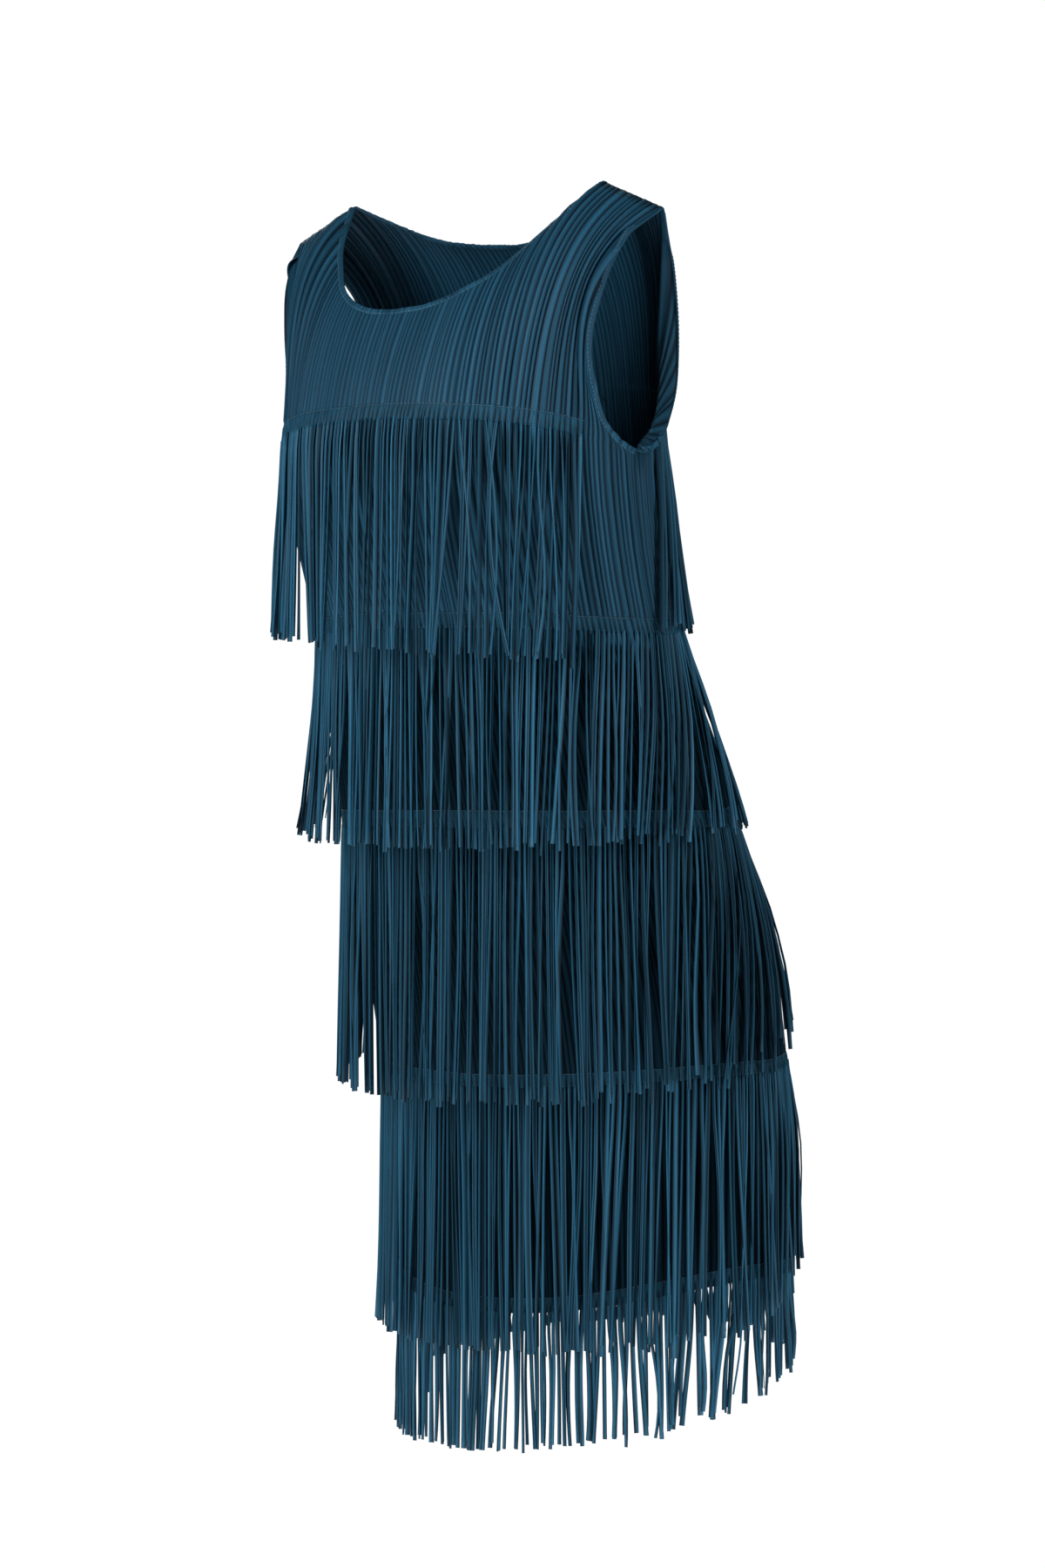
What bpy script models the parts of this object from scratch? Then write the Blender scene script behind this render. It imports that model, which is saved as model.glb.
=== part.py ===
"""Sleeveless knee-length dress of vertically pleated cloth with five tiers of cut fringe.

The dress is empty and keeps the shape it has when worn. The origin lies midway between the two
points where the shoulder seams meet the neckline. Up is +Z, the front faces -Y and the wearer's
left is +X. All lengths are in metres.
"""

import math
from collections import namedtuple

import bmesh
import bpy
import numpy as np

WALL = 0.0012
PLEATS_PER_PANEL = 65
PLEAT_RISE = 0.0008
PLEAT_PEAK = 0.46
PLEAT_WIDTHS = (7.6, 5.4, 8.2, 6.6, 4.8, 7.9, 6.1, 8.6, 5.0, 7.1, 6.9, 8.0, 5.7)
SIDE_SEAM_TRIM = 0.0009
SHOULDER_SEAM_TRIM = 0.0002
NECK_END = 0.530
STRAP_END = 0.755
UPPER_ROWS = (0.34, 0.66, 0.88, 1.0)
CHEST_DEPTH = 0.200
NECK_POINT_X = 0.121
SHOULDER_END_X = 0.178
BUST_LEAN = 0.15
TOP_LEAN = 0.10
SHOULDER_LEAN = 1.25
LEAN_POWER = 1.6
SHOULDER_ROUNDING = 0.35
CAP_SPREAD = 0.9

STRIP_INNER = 0.0020
STRIP_OUTER = 0.0032
STRIP_HEIGHT = 0.0130
STRAND_WIDTH_SHARE = 0.66
STRAND_TIP_WIDTH = 0.0085
STRAND_THICKNESS = 0.0014
STANDOFF_SHARES = (0.00, 0.20, 0.50, 0.80)
STANDOFFS = (0.0026, 0.0037, 0.0048, 0.0052)
PATH_STEP = 0.008
TIP_JITTER = (0.0, 3.1, -2.2, 1.4, -3.8, 2.3, -0.9, 3.9, -2.9, 0.8, -1.6)

FRONT = -1
BACK = 1

Section = namedtuple("Section", "z half_width y_front y_back squareness")
SECTIONS = (
    Section(-0.840, 0.160, 0.015, 0.264, 2.10),
    Section(-0.660, 0.167, 0.000, 0.252, 2.10),
    Section(-0.590, 0.167, -0.015, 0.239, 2.10),
    Section(-0.460, 0.159, -0.054, 0.192, 2.10),
    Section(-0.316, 0.148, -0.090, 0.134, 2.10),
    Section(-0.240, 0.150, -0.115, 0.118, 2.10),
    Section(-0.190, 0.151, -0.123, 0.112, 2.15),
    Section(-0.150, 0.152, -0.117, 0.106, 2.15),
)

Level = namedtuple("Level", "name front side back hold")
LEVELS = (
    Level("hem", -0.834, -0.808, -0.812, 1.00),
    Level("tier_4", -0.664, -0.654, -0.632, 1.00),
    Level("hip", -0.566, -0.562, -0.545, 1.00),
    Level("tier_3", -0.471, -0.471, -0.450, 1.00),
    Level("tier_2", -0.325, -0.329, -0.308, 1.00),
    Level("tier_1", -0.175, -0.210, -0.148, 0.25),
)

Edge = namedtuple("Edge", "place x y z")
FRONT_EDGE = (
    Edge(0.000, 0.0000, -0.092, -0.0930),
    Edge(0.120, 0.0270, -0.088, -0.0905),
    Edge(0.240, 0.0530, -0.080, -0.0830),
    Edge(0.400, 0.0890, -0.055, -0.0610),
    Edge(0.470, 0.1060, -0.035, -0.0380),
    Edge(NECK_END, 0.1210, 0.000, 0.0000),
    Edge(STRAP_END, 0.1780, 0.000, -0.0240),
    Edge(0.768, 0.1655, -0.027, -0.0425),
    Edge(0.785, 0.1550, -0.036, -0.0635),
    Edge(0.810, 0.1480, -0.049, -0.1015),
    Edge(0.840, 0.1460, -0.052, -0.1265),
    Edge(0.880, 0.1470, -0.046, -0.1513),
    Edge(0.920, 0.1490, -0.034, -0.1758),
    Edge(0.960, 0.1510, -0.018, -0.1890),
    Edge(1.000, 0.1520, -0.004, -0.1955),
)
BACK_EDGE = (
    Edge(0.000, 0.0000, 0.047, -0.0340),
    Edge(0.180, 0.0400, 0.044, -0.0310),
    Edge(0.340, 0.0750, 0.034, -0.0240),
    Edge(0.450, 0.1020, 0.016, -0.0110),
    Edge(NECK_END, 0.1210, 0.000, 0.0000),
    Edge(STRAP_END, 0.1780, 0.000, -0.0240),
    Edge(0.785, 0.1590, 0.034, -0.0580),
    Edge(0.810, 0.1510, 0.050, -0.0950),
    Edge(0.840, 0.1490, 0.0535, -0.1330),
    Edge(0.880, 0.1490, 0.046, -0.1660),
    Edge(0.920, 0.1500, 0.031, -0.1905),
    Edge(0.960, 0.1515, 0.013, -0.1985),
    Edge(1.000, 0.1520, -0.004, -0.1955),
)

Tier = namedtuple("Tier", "name facing root strands reach tip_mid tip_side bends")
TIERS = (
    Tier("fringe_1_front", FRONT, "tier_1", 17, 0.790, -0.349, -0.334, (0.50,)),
    Tier("fringe_1_back", BACK, "tier_1", 16, 0.800, -0.320, -0.330, (0.50,)),
    Tier("fringe_2_front", FRONT, "tier_2", 23, 1.000, -0.486, -0.480, (0.20, 0.55)),
    Tier("fringe_2_back", BACK, "tier_2", 23, 1.000, -0.466, -0.480, (0.20, 0.55)),
    Tier("fringe_3_front", FRONT, "tier_3", 23, 1.000, -0.668, -0.652, (0.20, 0.55)),
    Tier("fringe_3_back", BACK, "tier_3", 23, 1.000, -0.620, -0.652, (0.20, 0.55)),
    Tier("fringe_4_front", FRONT, "tier_4", 23, 1.000, -0.858, -0.842, (0.50,)),
    Tier("fringe_4_back", BACK, "tier_4", 23, 1.000, -0.800, -0.842, (0.50,)),
    Tier("fringe_5_front", FRONT, "hem", 23, 1.000, -0.937, -0.896, ()),
    Tier("fringe_5_back", BACK, "hem", 23, 1.000, -0.870, -0.896, ()),
)

Finish = namedtuple("Finish", "name colour roughness")
PLEATED_CLOTH = Finish("pleated_polyester", (0.0159, 0.0802, 0.1441), 0.62)
FRINGE_CLOTH = Finish("cut_polyester_fringe", (0.0212, 0.1170, 0.1946), 0.58)


def smooth_columns(x, rows, key, fields):
    """Each named field of a table, read at x along a curve that is smooth through every row."""
    stops = np.array([getattr(row, key) for row in rows])
    i = np.clip(np.searchsorted(stops, x) - 1, 0, len(stops) - 2)
    span = stops[i + 1] - stops[i]
    f = np.clip((x - stops[i]) / span, 0.0, 1.0)
    found = []
    for field in fields:
        values = np.array([getattr(row, field) for row in rows])
        slopes = np.gradient(values, stops)
        found.append(
            (2 * f**3 - 3 * f**2 + 1) * values[i]
            + (f**3 - 2 * f**2 + f) * span * slopes[i]
            + (3 * f**2 - 2 * f**3) * values[i + 1]
            + (f**3 - f**2) * span * slopes[i + 1]
        )
    return found


def ring_point(level, facing, angle):
    """Points of the garment's mid-surface at an angle from the centre line, on one level."""
    middle = level.front if facing == FRONT else level.back
    z = level.side + (middle - level.side) * (np.cos(angle) ** 2) ** level.hold
    fields = ("half_width", "y_front", "y_back", "squareness")
    half_width, y_front, y_back, squareness = smooth_columns(z, SECTIONS, "z", fields)
    centre = (y_front + y_back) / 2
    depth = (y_back - y_front) / 2
    power = 2 / squareness
    x = half_width * np.sign(angle) * np.abs(np.sin(angle)) ** power
    y = centre + facing * depth * np.cos(angle).clip(0.0) ** power
    return np.stack([x, y, z], axis=-1)


def ring(level, facing, places):
    """The same points spread by length of cloth: place -1 and 1 are the side seams, 0 the centre."""
    angle = np.linspace(-math.pi / 2, math.pi / 2, 721)
    steps = np.linalg.norm(np.diff(ring_point(level, facing, angle)[:, :2], axis=0), axis=1)
    run = np.concatenate([[0.0], np.cumsum(steps)])
    return ring_point(level, facing, np.interp(places, run / run[-1] * 2 - 1, angle))


def top_edge(facing, places):
    """Neckline, shoulder seam and armhole across the top of a panel, each smooth from end to end."""
    rows = FRONT_EDGE if facing == FRONT else BACK_EDGE
    away = np.abs(places)
    line = np.empty((len(places), 3))
    for start, end in ((0.0, NECK_END), (NECK_END, STRAP_END), (STRAP_END, 1.0)):
        within = (away >= start) & (away <= end)
        stretch = [row for row in rows if start <= row.place <= end]
        line[within] = np.stack(smooth_columns(away[within], stretch, "place", "xyz"), axis=-1)
    line[:, 0] *= np.sign(places)
    on_strap = (away >= NECK_END) & (away <= STRAP_END)
    line[on_strap, 1] += facing * SHOULDER_SEAM_TRIM
    return line


def upper_rows(facing, low, top):
    """Rows between the bust and the top edge, each column a cubic with these changes at its two ends.

    A column leaves the bust leaning back by BUST_LEAN. It ends leaning back by TOP_LEAN, or more the
    higher it reaches, and at a shoulder's outer end it leans out too, by CAP_SPREAD.
    """
    rise = top[:, 2:] - low[:, 2:]
    height = np.clip((top[:, 2:] + CHEST_DEPTH) / CHEST_DEPTH, 0.0, 1.0)
    outer = np.clip((np.abs(top[:, :1]) - NECK_POINT_X) / (SHOULDER_END_X - NECK_POINT_X), 0.0, 1.0)
    lean = TOP_LEAN + SHOULDER_LEAN * height**LEAN_POWER
    none = np.zeros_like(rise)
    begin = np.concatenate([none, none - facing * BUST_LEAN, none + 1], axis=1) * rise
    spread = CAP_SPREAD * outer**2 * np.sign(top[:, :1])
    end = np.concatenate([spread, -facing * lean, 1 - SHOULDER_ROUNDING * height**3], axis=1) * rise
    return [
        (2 * f**3 - 3 * f**2 + 1) * low
        + (f**3 - 2 * f**2 + f) * begin
        + (3 * f**2 - 2 * f**3) * top
        + (f**3 - f**2) * end
        for f in UPPER_ROWS
    ]


def panel_grid(facing, places):
    """Mid-surface points and outward directions, one column for each place and one row for each level."""
    rows = [ring(level, facing, places) for level in LEVELS]
    rows += upper_rows(facing, rows[-1], top_edge(facing, places))
    grid = np.stack(rows, axis=1)
    out = -facing * np.cross(np.gradient(grid, axis=0), np.gradient(grid, axis=1))
    out /= np.linalg.norm(out, axis=-1, keepdims=True)
    on_strap = (abs(places) >= NECK_END) & (abs(places) <= STRAP_END)
    out[on_strap, -1] = (0.0, 0.0, 1.0)
    out[[0, -1], :-1] = np.stack([np.sign(places[[0, -1]]), [0, 0], [0, 0]], axis=-1)[:, None]
    return grid, out


def pleat_places():
    """Where the valleys and peaks of the pleats run, from one side seam to the other."""
    widths = np.resize(PLEAT_WIDTHS, PLEATS_PER_PANEL)
    starts = np.concatenate([[0.0], np.cumsum(widths)])
    places = np.empty(2 * PLEATS_PER_PANEL + 1)
    places[::2] = starts
    places[1::2] = starts[:-1] + PLEAT_PEAK * widths
    return (places / places[-1] * 2 - 1) * (1 - SIDE_SEAM_TRIM)


def quads(numbers):
    """Faces between neighbouring points of a grid of vertex numbers."""
    corners = (numbers[:-1, :-1], numbers[1:, :-1], numbers[1:, 1:], numbers[:-1, 1:])
    return np.stack(corners, axis=-1).reshape(-1, 4).tolist()


def add_body(collection, name, points, faces, finish):
    """One closed mesh object with its own material, its faces turned outwards."""
    mesh = bpy.data.meshes.new(name)
    mesh.from_pydata(points.tolist(), [], faces)
    solid = bmesh.new()
    solid.from_mesh(mesh)
    bmesh.ops.recalc_face_normals(solid, faces=solid.faces)
    if solid.calc_volume(signed=True) < 0:
        bmesh.ops.reverse_faces(solid, faces=solid.faces)
    solid.to_mesh(mesh)
    solid.free()
    material = bpy.data.materials.new(name + "_" + finish.name)
    material.use_nodes = True
    shader = material.node_tree.nodes["Principled BSDF"]
    shader.inputs["Base Color"].default_value = (*finish.colour, 1.0)
    shader.inputs["Roughness"].default_value = finish.roughness
    shader.inputs["Metallic"].default_value = 0.0
    mesh.materials.append(material)
    obj = bpy.data.objects.new(name, mesh)
    collection.objects.link(obj)
    return obj


def add_panel(collection, name, facing):
    """A front or back: one pleated wall from the hem to the neckline, shoulders and armholes."""
    places = pleat_places()
    grid, out = panel_grid(facing, places)
    wave = np.where(np.arange(len(places)) % 2 == 0, -PLEAT_RISE, PLEAT_RISE)[:, None, None]
    outer = grid + out * (wave + WALL / 2)
    inner = grid + out * (wave - WALL / 2)
    columns, rows = grid.shape[:2]
    first = np.arange(columns * rows).reshape(columns, rows)
    second = first + columns * rows
    rim = np.concatenate([first[:, 0], first[-1, 1:], first[-2::-1, -1], first[0, -2::-1]])
    other = rim + columns * rows
    faces = quads(first) + quads(second[:, ::-1]) + quads(np.stack([rim, other], axis=1))
    points = np.concatenate([outer.reshape(-1, 3), inner.reshape(-1, 3)])
    return add_body(collection, name, points, faces, PLEATED_CLOTH)


def read_across(values, places):
    """Grid values of a panel's own columns, read at other places along the same rows."""
    columns = pleat_places()
    flat = values.reshape(len(columns), -1)
    read = [np.interp(places, columns, flat[:, i]) for i in range(flat.shape[1])]
    return np.stack(read, axis=1).reshape(len(places), *values.shape[1:])


def between_rows(values, row, share):
    """Grid values a share of the way from one row to the next one up."""
    return values[:, row] * (1 - share) + values[:, row + 1] * share


def crossing(grid, z):
    """Where each column of a panel passes height z, seen from above, left out where it doesn't."""
    heights = grid[:, :, 2]
    below = (heights[:, :-1] <= z) & (heights[:, 1:] > z)
    column = np.nonzero(below.any(axis=1))[0]
    row = below[column].argmax(axis=1)
    low = grid[column, row]
    high = grid[column, row + 1]
    share = ((z - low[:, 2]) / (high[:, 2] - low[:, 2]))[:, None]
    return (low + (high - low) * share)[:, :2]


def outline_at(panels, z):
    """Ends and outward directions of the short straight pieces that make the garment's outline at z."""
    starts, ends, outs = [], [], []
    hem = max(grid[:, 0, 2].max() for grid, _ in panels.values()) + 1e-4
    for facing, (grid, _) in panels.items():
        line = crossing(grid, max(z, hem))
        step = np.diff(line, axis=0)
        kept = np.linalg.norm(step, axis=1) < 0.02
        out = facing * np.stack([-step[:, 1], step[:, 0]], axis=-1)
        out /= np.linalg.norm(out, axis=1, keepdims=True)
        starts.append(line[:-1][kept])
        ends.append(line[1:][kept])
        outs.append(out[kept])
    return np.concatenate(starts), np.concatenate(ends), np.concatenate(outs)


def pushed_clear(point, outline, standoff):
    """A point seen from above, moved straight out of the cloth until it stands off by this much."""
    starts, ends, outs = outline
    step = ends - starts
    share = ((point - starts) * step).sum(axis=1) / (step * step).sum(axis=1)
    nearest = starts + step * share.clip(0.0, 1.0)[:, None]
    i = np.linalg.norm(point - nearest, axis=1).argmin()
    height = ((point - starts[i]) * outs[i]).sum()
    return point + outs[i] * max(standoff - height, 0.0), outs[i]


def strand_path(panels, root, tip_z, bends):
    """How a strand hangs from its root: straight down, or along the cloth where that leans out."""
    bend_levels = root[2] + (tip_z - root[2]) * np.array([*bends, 1.0])
    levels = np.arange(root[2] - PATH_STEP, tip_z, -PATH_STEP)
    levels = np.sort(np.concatenate([levels, bend_levels]))[::-1]
    point = root[:2]
    kept = []
    for z in levels:
        share = (root[2] - z) / (root[2] - tip_z)
        standoff = np.interp(share, STANDOFF_SHARES, STANDOFFS)
        point, out = pushed_clear(point, outline_at(panels, z), standoff)
        if z in bend_levels:
            kept.append((np.array([*point, z]), out))
    return kept


def strand_ring(centre, out, width, thickness):
    """Four corners of a strand, in the order inner left, inner right, outer right, outer left."""
    along = np.array([-out[1], out[0], 0.0])
    away = np.array([out[0], out[1], 0.0])
    signs = ((-1, -1), (1, -1), (1, 1), (-1, 1))
    return [centre + along * width / 2 * a + away * thickness / 2 * b for a, b in signs]


def add_fringe(collection, panels, tier):
    """A fringe band: a narrow strip outside the panel and the strands cut below it."""
    row = [level.name for level in LEVELS].index(tier.root)
    reach = tier.reach * (1 - SIDE_SEAM_TRIM)
    pitch = 2 * reach / tier.strands
    centres = -reach + pitch * (np.arange(tier.strands) + 0.5)
    half = pitch * STRAND_WIDTH_SHARE / 2
    cuts = np.stack([centres - half, centres + half], axis=1).reshape(-1)
    places = np.concatenate([[-reach], cuts, [reach]])
    grid, out = (read_across(values, places) for values in panels[tier.facing])
    rise = np.linalg.norm(grid[:, row + 1] - grid[:, row], axis=-1)[:, None]
    share = np.minimum(STRIP_HEIGHT / rise, 0.9)
    mid = (between_rows(grid, row, 0.0), between_rows(grid, row, share))
    away = (between_rows(out, row, 0.0), between_rows(out, row, share))
    corners = [
        mid[0] + away[0] * STRIP_INNER,
        mid[0] + away[0] * STRIP_OUTER,
        mid[1] + away[1] * STRIP_OUTER,
        mid[1] + away[1] * STRIP_INNER,
    ]
    points = list(np.stack(corners, axis=1).reshape(-1, 3))
    faces = [[0, 1, 2, 3], [4 * len(places) - n for n in (1, 2, 3, 4)]]
    for i in range(len(places) - 1):
        a, b = 4 * i, 4 * i + 4
        rooted = i % 2 == 1
        for side in range(4):
            if side == 0 and rooted:
                continue
            after = (side + 1) % 4
            faces.append([a + side, b + side, b + after, a + after])
        if not rooted:
            continue
        number = i // 2
        # The strand's left is its own when seen from outside, whichever way the panel faces.
        ends = (a, b, b + 1, a + 1) if tier.facing == FRONT else (b, a, a + 1, b + 1)
        root = np.mean([points[n] for n in ends], axis=0)
        edge = abs(centres[number]) ** 2
        tip_z = tier.tip_mid + (tier.tip_side - tier.tip_mid) * edge
        tip_z += TIP_JITTER[number % len(TIP_JITTER)] / 1000
        path = strand_path(panels, root, tip_z, tier.bends)
        root_width = np.linalg.norm(points[a] - points[b])
        widths = np.interp([*tier.bends, 1.0], (0.0, 1.0), (root_width, STRAND_TIP_WIDTH))
        last = ends
        for (centre, away_from), width in zip(path, widths):
            start = len(points)
            points.extend(strand_ring(centre, away_from, width, STRAND_THICKNESS))
            new = tuple(range(start, start + 4))
            for side in range(4):
                after = (side + 1) % 4
                faces.append([last[side], last[after], new[after], new[side]])
            last = new
        faces.append(list(last))
    return add_body(collection, tier.name, np.array(points), faces, FRINGE_CLOTH)


def main():
    for obj in list(bpy.data.objects):
        bpy.data.objects.remove(obj, do_unlink=True)
    collection = bpy.data.collections.new("tiered_fringe_dress")
    bpy.context.scene.collection.children.link(collection)
    add_panel(collection, "front_panel", FRONT)
    add_panel(collection, "back_panel", BACK)
    panels = {facing: panel_grid(facing, pleat_places()) for facing in (FRONT, BACK)}
    for tier in TIERS:
        add_fringe(collection, panels, tier)


main()
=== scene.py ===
"""Looks of a sleeveless dress in heat-pleated polyester with five tiers of cut fringe."""

import logging
import math
from dataclasses import dataclass, field
from enum import Enum

import bpy
import numpy as np
from numpy.typing import NDArray
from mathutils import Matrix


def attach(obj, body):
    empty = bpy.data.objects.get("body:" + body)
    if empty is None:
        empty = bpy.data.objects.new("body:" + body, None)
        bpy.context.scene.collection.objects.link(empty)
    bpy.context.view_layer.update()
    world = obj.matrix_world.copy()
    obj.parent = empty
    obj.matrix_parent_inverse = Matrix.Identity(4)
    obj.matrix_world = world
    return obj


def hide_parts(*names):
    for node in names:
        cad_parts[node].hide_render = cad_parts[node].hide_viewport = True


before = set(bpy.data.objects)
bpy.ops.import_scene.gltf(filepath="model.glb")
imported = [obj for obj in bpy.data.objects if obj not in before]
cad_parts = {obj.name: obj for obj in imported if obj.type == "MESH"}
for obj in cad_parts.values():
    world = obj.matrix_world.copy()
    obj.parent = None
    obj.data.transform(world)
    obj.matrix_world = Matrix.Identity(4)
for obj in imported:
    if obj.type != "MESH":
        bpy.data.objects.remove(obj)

Array = NDArray[np.float64]
Quads = NDArray[np.int64]
Material = bpy.types.Material
Tree = bpy.types.NodeTree
Socket = bpy.types.NodeSocket
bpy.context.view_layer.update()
MM = 0.001
# Rows of the dress: the hem, the chest, where tier 1 is stitched on, and the top edge.
HEM_ROW, CHEST_ROW, TOP_ROW = 0.0, 5.0, 6.0
log = logging.getLogger("dress")


class Facing(Enum):
    """Which half of the dress a piece belongs to; the value is the sign of its outward Y."""

    FRONT = -1
    BACK = 1


@dataclass(frozen=True)
class Section:
    """One outline of the worn dress seen from above."""

    z: float
    half_width: float
    y_front: float
    y_back: float
    squareness: float


@dataclass(frozen=True)
class Level:
    """A line round the dress, by its height at the centre front, the side and the centre back."""

    front: float
    side: float
    back: float
    hold: float


@dataclass(frozen=True)
class Edge:
    """A point of a panel's top edge; place 0 is the centre line and 1 the side seam."""

    place: float
    x: float
    y: float
    z: float


def cubic_weights(f: Array) -> tuple[Array, Array, Array, Array]:
    """The weights of a cubic between two points with given slopes.

    Args:
        f: how far along the cubic to read it, from 0 to 1.

    Returns:
        The weights of its start, of its slope there, of its end and of its slope there.
    """
    return 2 * f**3 - 3 * f**2 + 1, f**3 - 2 * f**2 + f, 3 * f**2 - 2 * f**3, f**3 - f**2


def smooth_read(x: Array, stops: Array, values: Array) -> Array:
    """Reads a table along a cubic that passes through every row with the rows' own mean slopes.

    Args:
        x: where to read.
        stops: the rows' positions, rising.
        values: the rows' values.

    Returns:
        The value at each x.
    """
    i = np.clip(np.searchsorted(stops, x) - 1, 0, len(stops) - 2)
    span = stops[i + 1] - stops[i]
    slopes = np.gradient(values, stops)
    start, leave, end, arrive = cubic_weights(np.clip((x - stops[i]) / span, 0.0, 1.0))
    return start * values[i] + leave * span * slopes[i] + end * values[i + 1] + arrive * span * slopes[i + 1]


def smoothstep(x: Array, low: float, high: float) -> Array:
    """An even ramp from 0 to 1, flat at both ends.

    Args:
        x: where to read it.
        low: where it leaves 0.
        high: where it reaches 1.

    Returns:
        Its value at each x.
    """
    t = np.clip((x - low) / (high - low), 0.0, 1.0)
    return t * t * (3 - 2 * t)


@dataclass(frozen=True)
class Across:
    """A value at a panel's right side, centre and left side, changing along a parabola.

    With a turn given, what its two sides share changes only between those two distances from
    the centre.
    """

    right: float
    middle: float
    left: float
    turn: tuple[float, float] | None = None

    def at(self, places: Array) -> Array:
        """Reads the value.

        Args:
            places: where to read it, from -1 at the right side to 1 at the left.

        Returns:
            The value at each place.
        """
        even = (self.left + self.right) / 2 - self.middle
        odd = (self.left - self.right) / 2
        grown = places * places if self.turn is None else smoothstep(np.abs(places), *self.turn)
        return self.middle + odd * places + even * grown


def unit(vectors: Array) -> Array:
    """The same directions with length 1."""
    return vectors / np.maximum(np.linalg.norm(vectors, axis=-1, keepdims=True), 1e-12)


def lengths_along(line: Array) -> Array:
    """How far each point lies from the first, measured along the line."""
    return np.concatenate([[0.0], np.cumsum(np.linalg.norm(np.diff(line, axis=0), axis=1))])


@dataclass(frozen=True)
class DressForm:
    """The mid-surface of the worn dress, front and back, as a function of place and row.

    Place runs from -1 at the wearer's right side seam through 0 at the centre to 1 at the left.
    Row runs from 0 at the hem through 1, 3, 4 and 5 at the roots of fringe tiers 4, 3, 2 and 1 to
    6 at the neckline, shoulder seams and armholes.
    """

    sections: tuple[Section, ...] = (
        Section(-0.840, 0.160, 0.015, 0.264, 2.10),
        Section(-0.660, 0.167, 0.000, 0.252, 2.10),
        Section(-0.590, 0.167, -0.015, 0.239, 2.10),
        Section(-0.460, 0.159, -0.054, 0.192, 2.10),
        Section(-0.316, 0.148, -0.090, 0.134, 2.10),
        Section(-0.240, 0.150, -0.115, 0.118, 2.10),
        Section(-0.190, 0.151, -0.123, 0.112, 2.15),
        Section(-0.150, 0.152, -0.117, 0.106, 2.15),
    )
    levels: tuple[Level, ...] = (
        Level(-0.834, -0.808, -0.812, 1.00),
        Level(-0.664, -0.654, -0.632, 1.00),
        Level(-0.566, -0.562, -0.545, 1.00),
        Level(-0.471, -0.471, -0.450, 1.00),
        Level(-0.325, -0.329, -0.308, 1.00),
        Level(-0.175, -0.210, -0.148, 0.25),
    )
    neck_end: float = 0.530
    strap_end: float = 0.755
    front_edge: tuple[Edge, ...] = (
        Edge(0.000, 0.0000, -0.092, -0.0930),
        Edge(0.120, 0.0270, -0.088, -0.0905),
        Edge(0.240, 0.0530, -0.080, -0.0810),
        Edge(0.400, 0.0840, -0.055, -0.0560),
        Edge(0.470, 0.1010, -0.035, -0.0330),
        Edge(0.530, 0.1210, 0.000, 0.0000),
        Edge(0.755, 0.1780, 0.000, -0.0240),
        Edge(0.768, 0.1665, -0.023, -0.0425),
        Edge(0.785, 0.1570, -0.031, -0.0635),
        Edge(0.810, 0.1505, -0.043, -0.1015),
        Edge(0.840, 0.1485, -0.046, -0.1265),
        Edge(0.880, 0.1485, -0.041, -0.1513),
        Edge(0.920, 0.1495, -0.032, -0.1758),
        Edge(0.960, 0.1510, -0.018, -0.1890),
        Edge(1.000, 0.1520, -0.004, -0.1955),
    )
    back_edge: tuple[Edge, ...] = (
        Edge(0.000, 0.0000, 0.047, -0.0340),
        Edge(0.180, 0.0400, 0.044, -0.0310),
        Edge(0.340, 0.0750, 0.034, -0.0240),
        Edge(0.450, 0.1020, 0.016, -0.0110),
        Edge(0.530, 0.1210, 0.000, 0.0000),
        Edge(0.755, 0.1780, 0.000, -0.0240),
        Edge(0.785, 0.1590, 0.034, -0.0580),
        Edge(0.810, 0.1510, 0.050, -0.0950),
        Edge(0.840, 0.1490, 0.0535, -0.1330),
        Edge(0.880, 0.1490, 0.046, -0.1660),
        Edge(0.920, 0.1500, 0.031, -0.1905),
        Edge(0.960, 0.1515, 0.013, -0.1985),
        Edge(1.000, 0.1520, -0.004, -0.1955),
    )
    chest_depth: float = 0.200
    neck_point_x: float = 0.121
    shoulder_end_x: float = 0.178
    bust_lean: float = 0.15
    top_lean: float = 0.10
    shoulder_lean: float = 1.25
    lean_power: float = 1.6
    shoulder_rounding: float = 0.35
    cap_spread: float = 0.9
    ring_steps: int = 720

    def level_at(self, row: float) -> Level:
        """Finds the line round the dress at a row below the chest.

        Args:
            row: the row, between the hem's and the chest's.

        Returns:
            The line, between the two levels next to it.
        """
        i = min(int(row), len(self.levels) - 2)
        f = row - i
        low, high = self.levels[i], self.levels[i + 1]
        names = ("front", "side", "back", "hold")
        return Level(*(getattr(low, n) * (1 - f) + getattr(high, n) * f for n in names))

    def ring_point(self, level: Level, facing: Facing, angle: Array) -> Array:
        """Follows a rounded rectangle in plan.

        X is the half width times a power of the angle's sine, and Y the centre plus the depth times
        the same power of its cosine.

        Args:
            level: the line round the dress.
            facing: the front or the back.
            angle: angles between the side seams, in radians, 0 at the centre line.

        Returns:
            The points.
        """
        middle = level.front if facing is Facing.FRONT else level.back
        z = level.side + (middle - level.side) * (np.cos(angle) ** 2) ** level.hold
        stops = np.array([s.z for s in self.sections])
        half_width, y_front, y_back, squareness = (
            smooth_read(z, stops, np.array([getattr(s, n) for s in self.sections]))
            for n in ("half_width", "y_front", "y_back", "squareness")
        )
        power = 2 / squareness
        x = half_width * np.sign(angle) * np.abs(np.sin(angle)) ** power
        depth = (y_back - y_front) / 2
        y = (y_front + y_back) / 2 + facing.value * depth * np.cos(angle).clip(0.0) ** power
        return np.stack([x, y, z], axis=-1)

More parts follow.
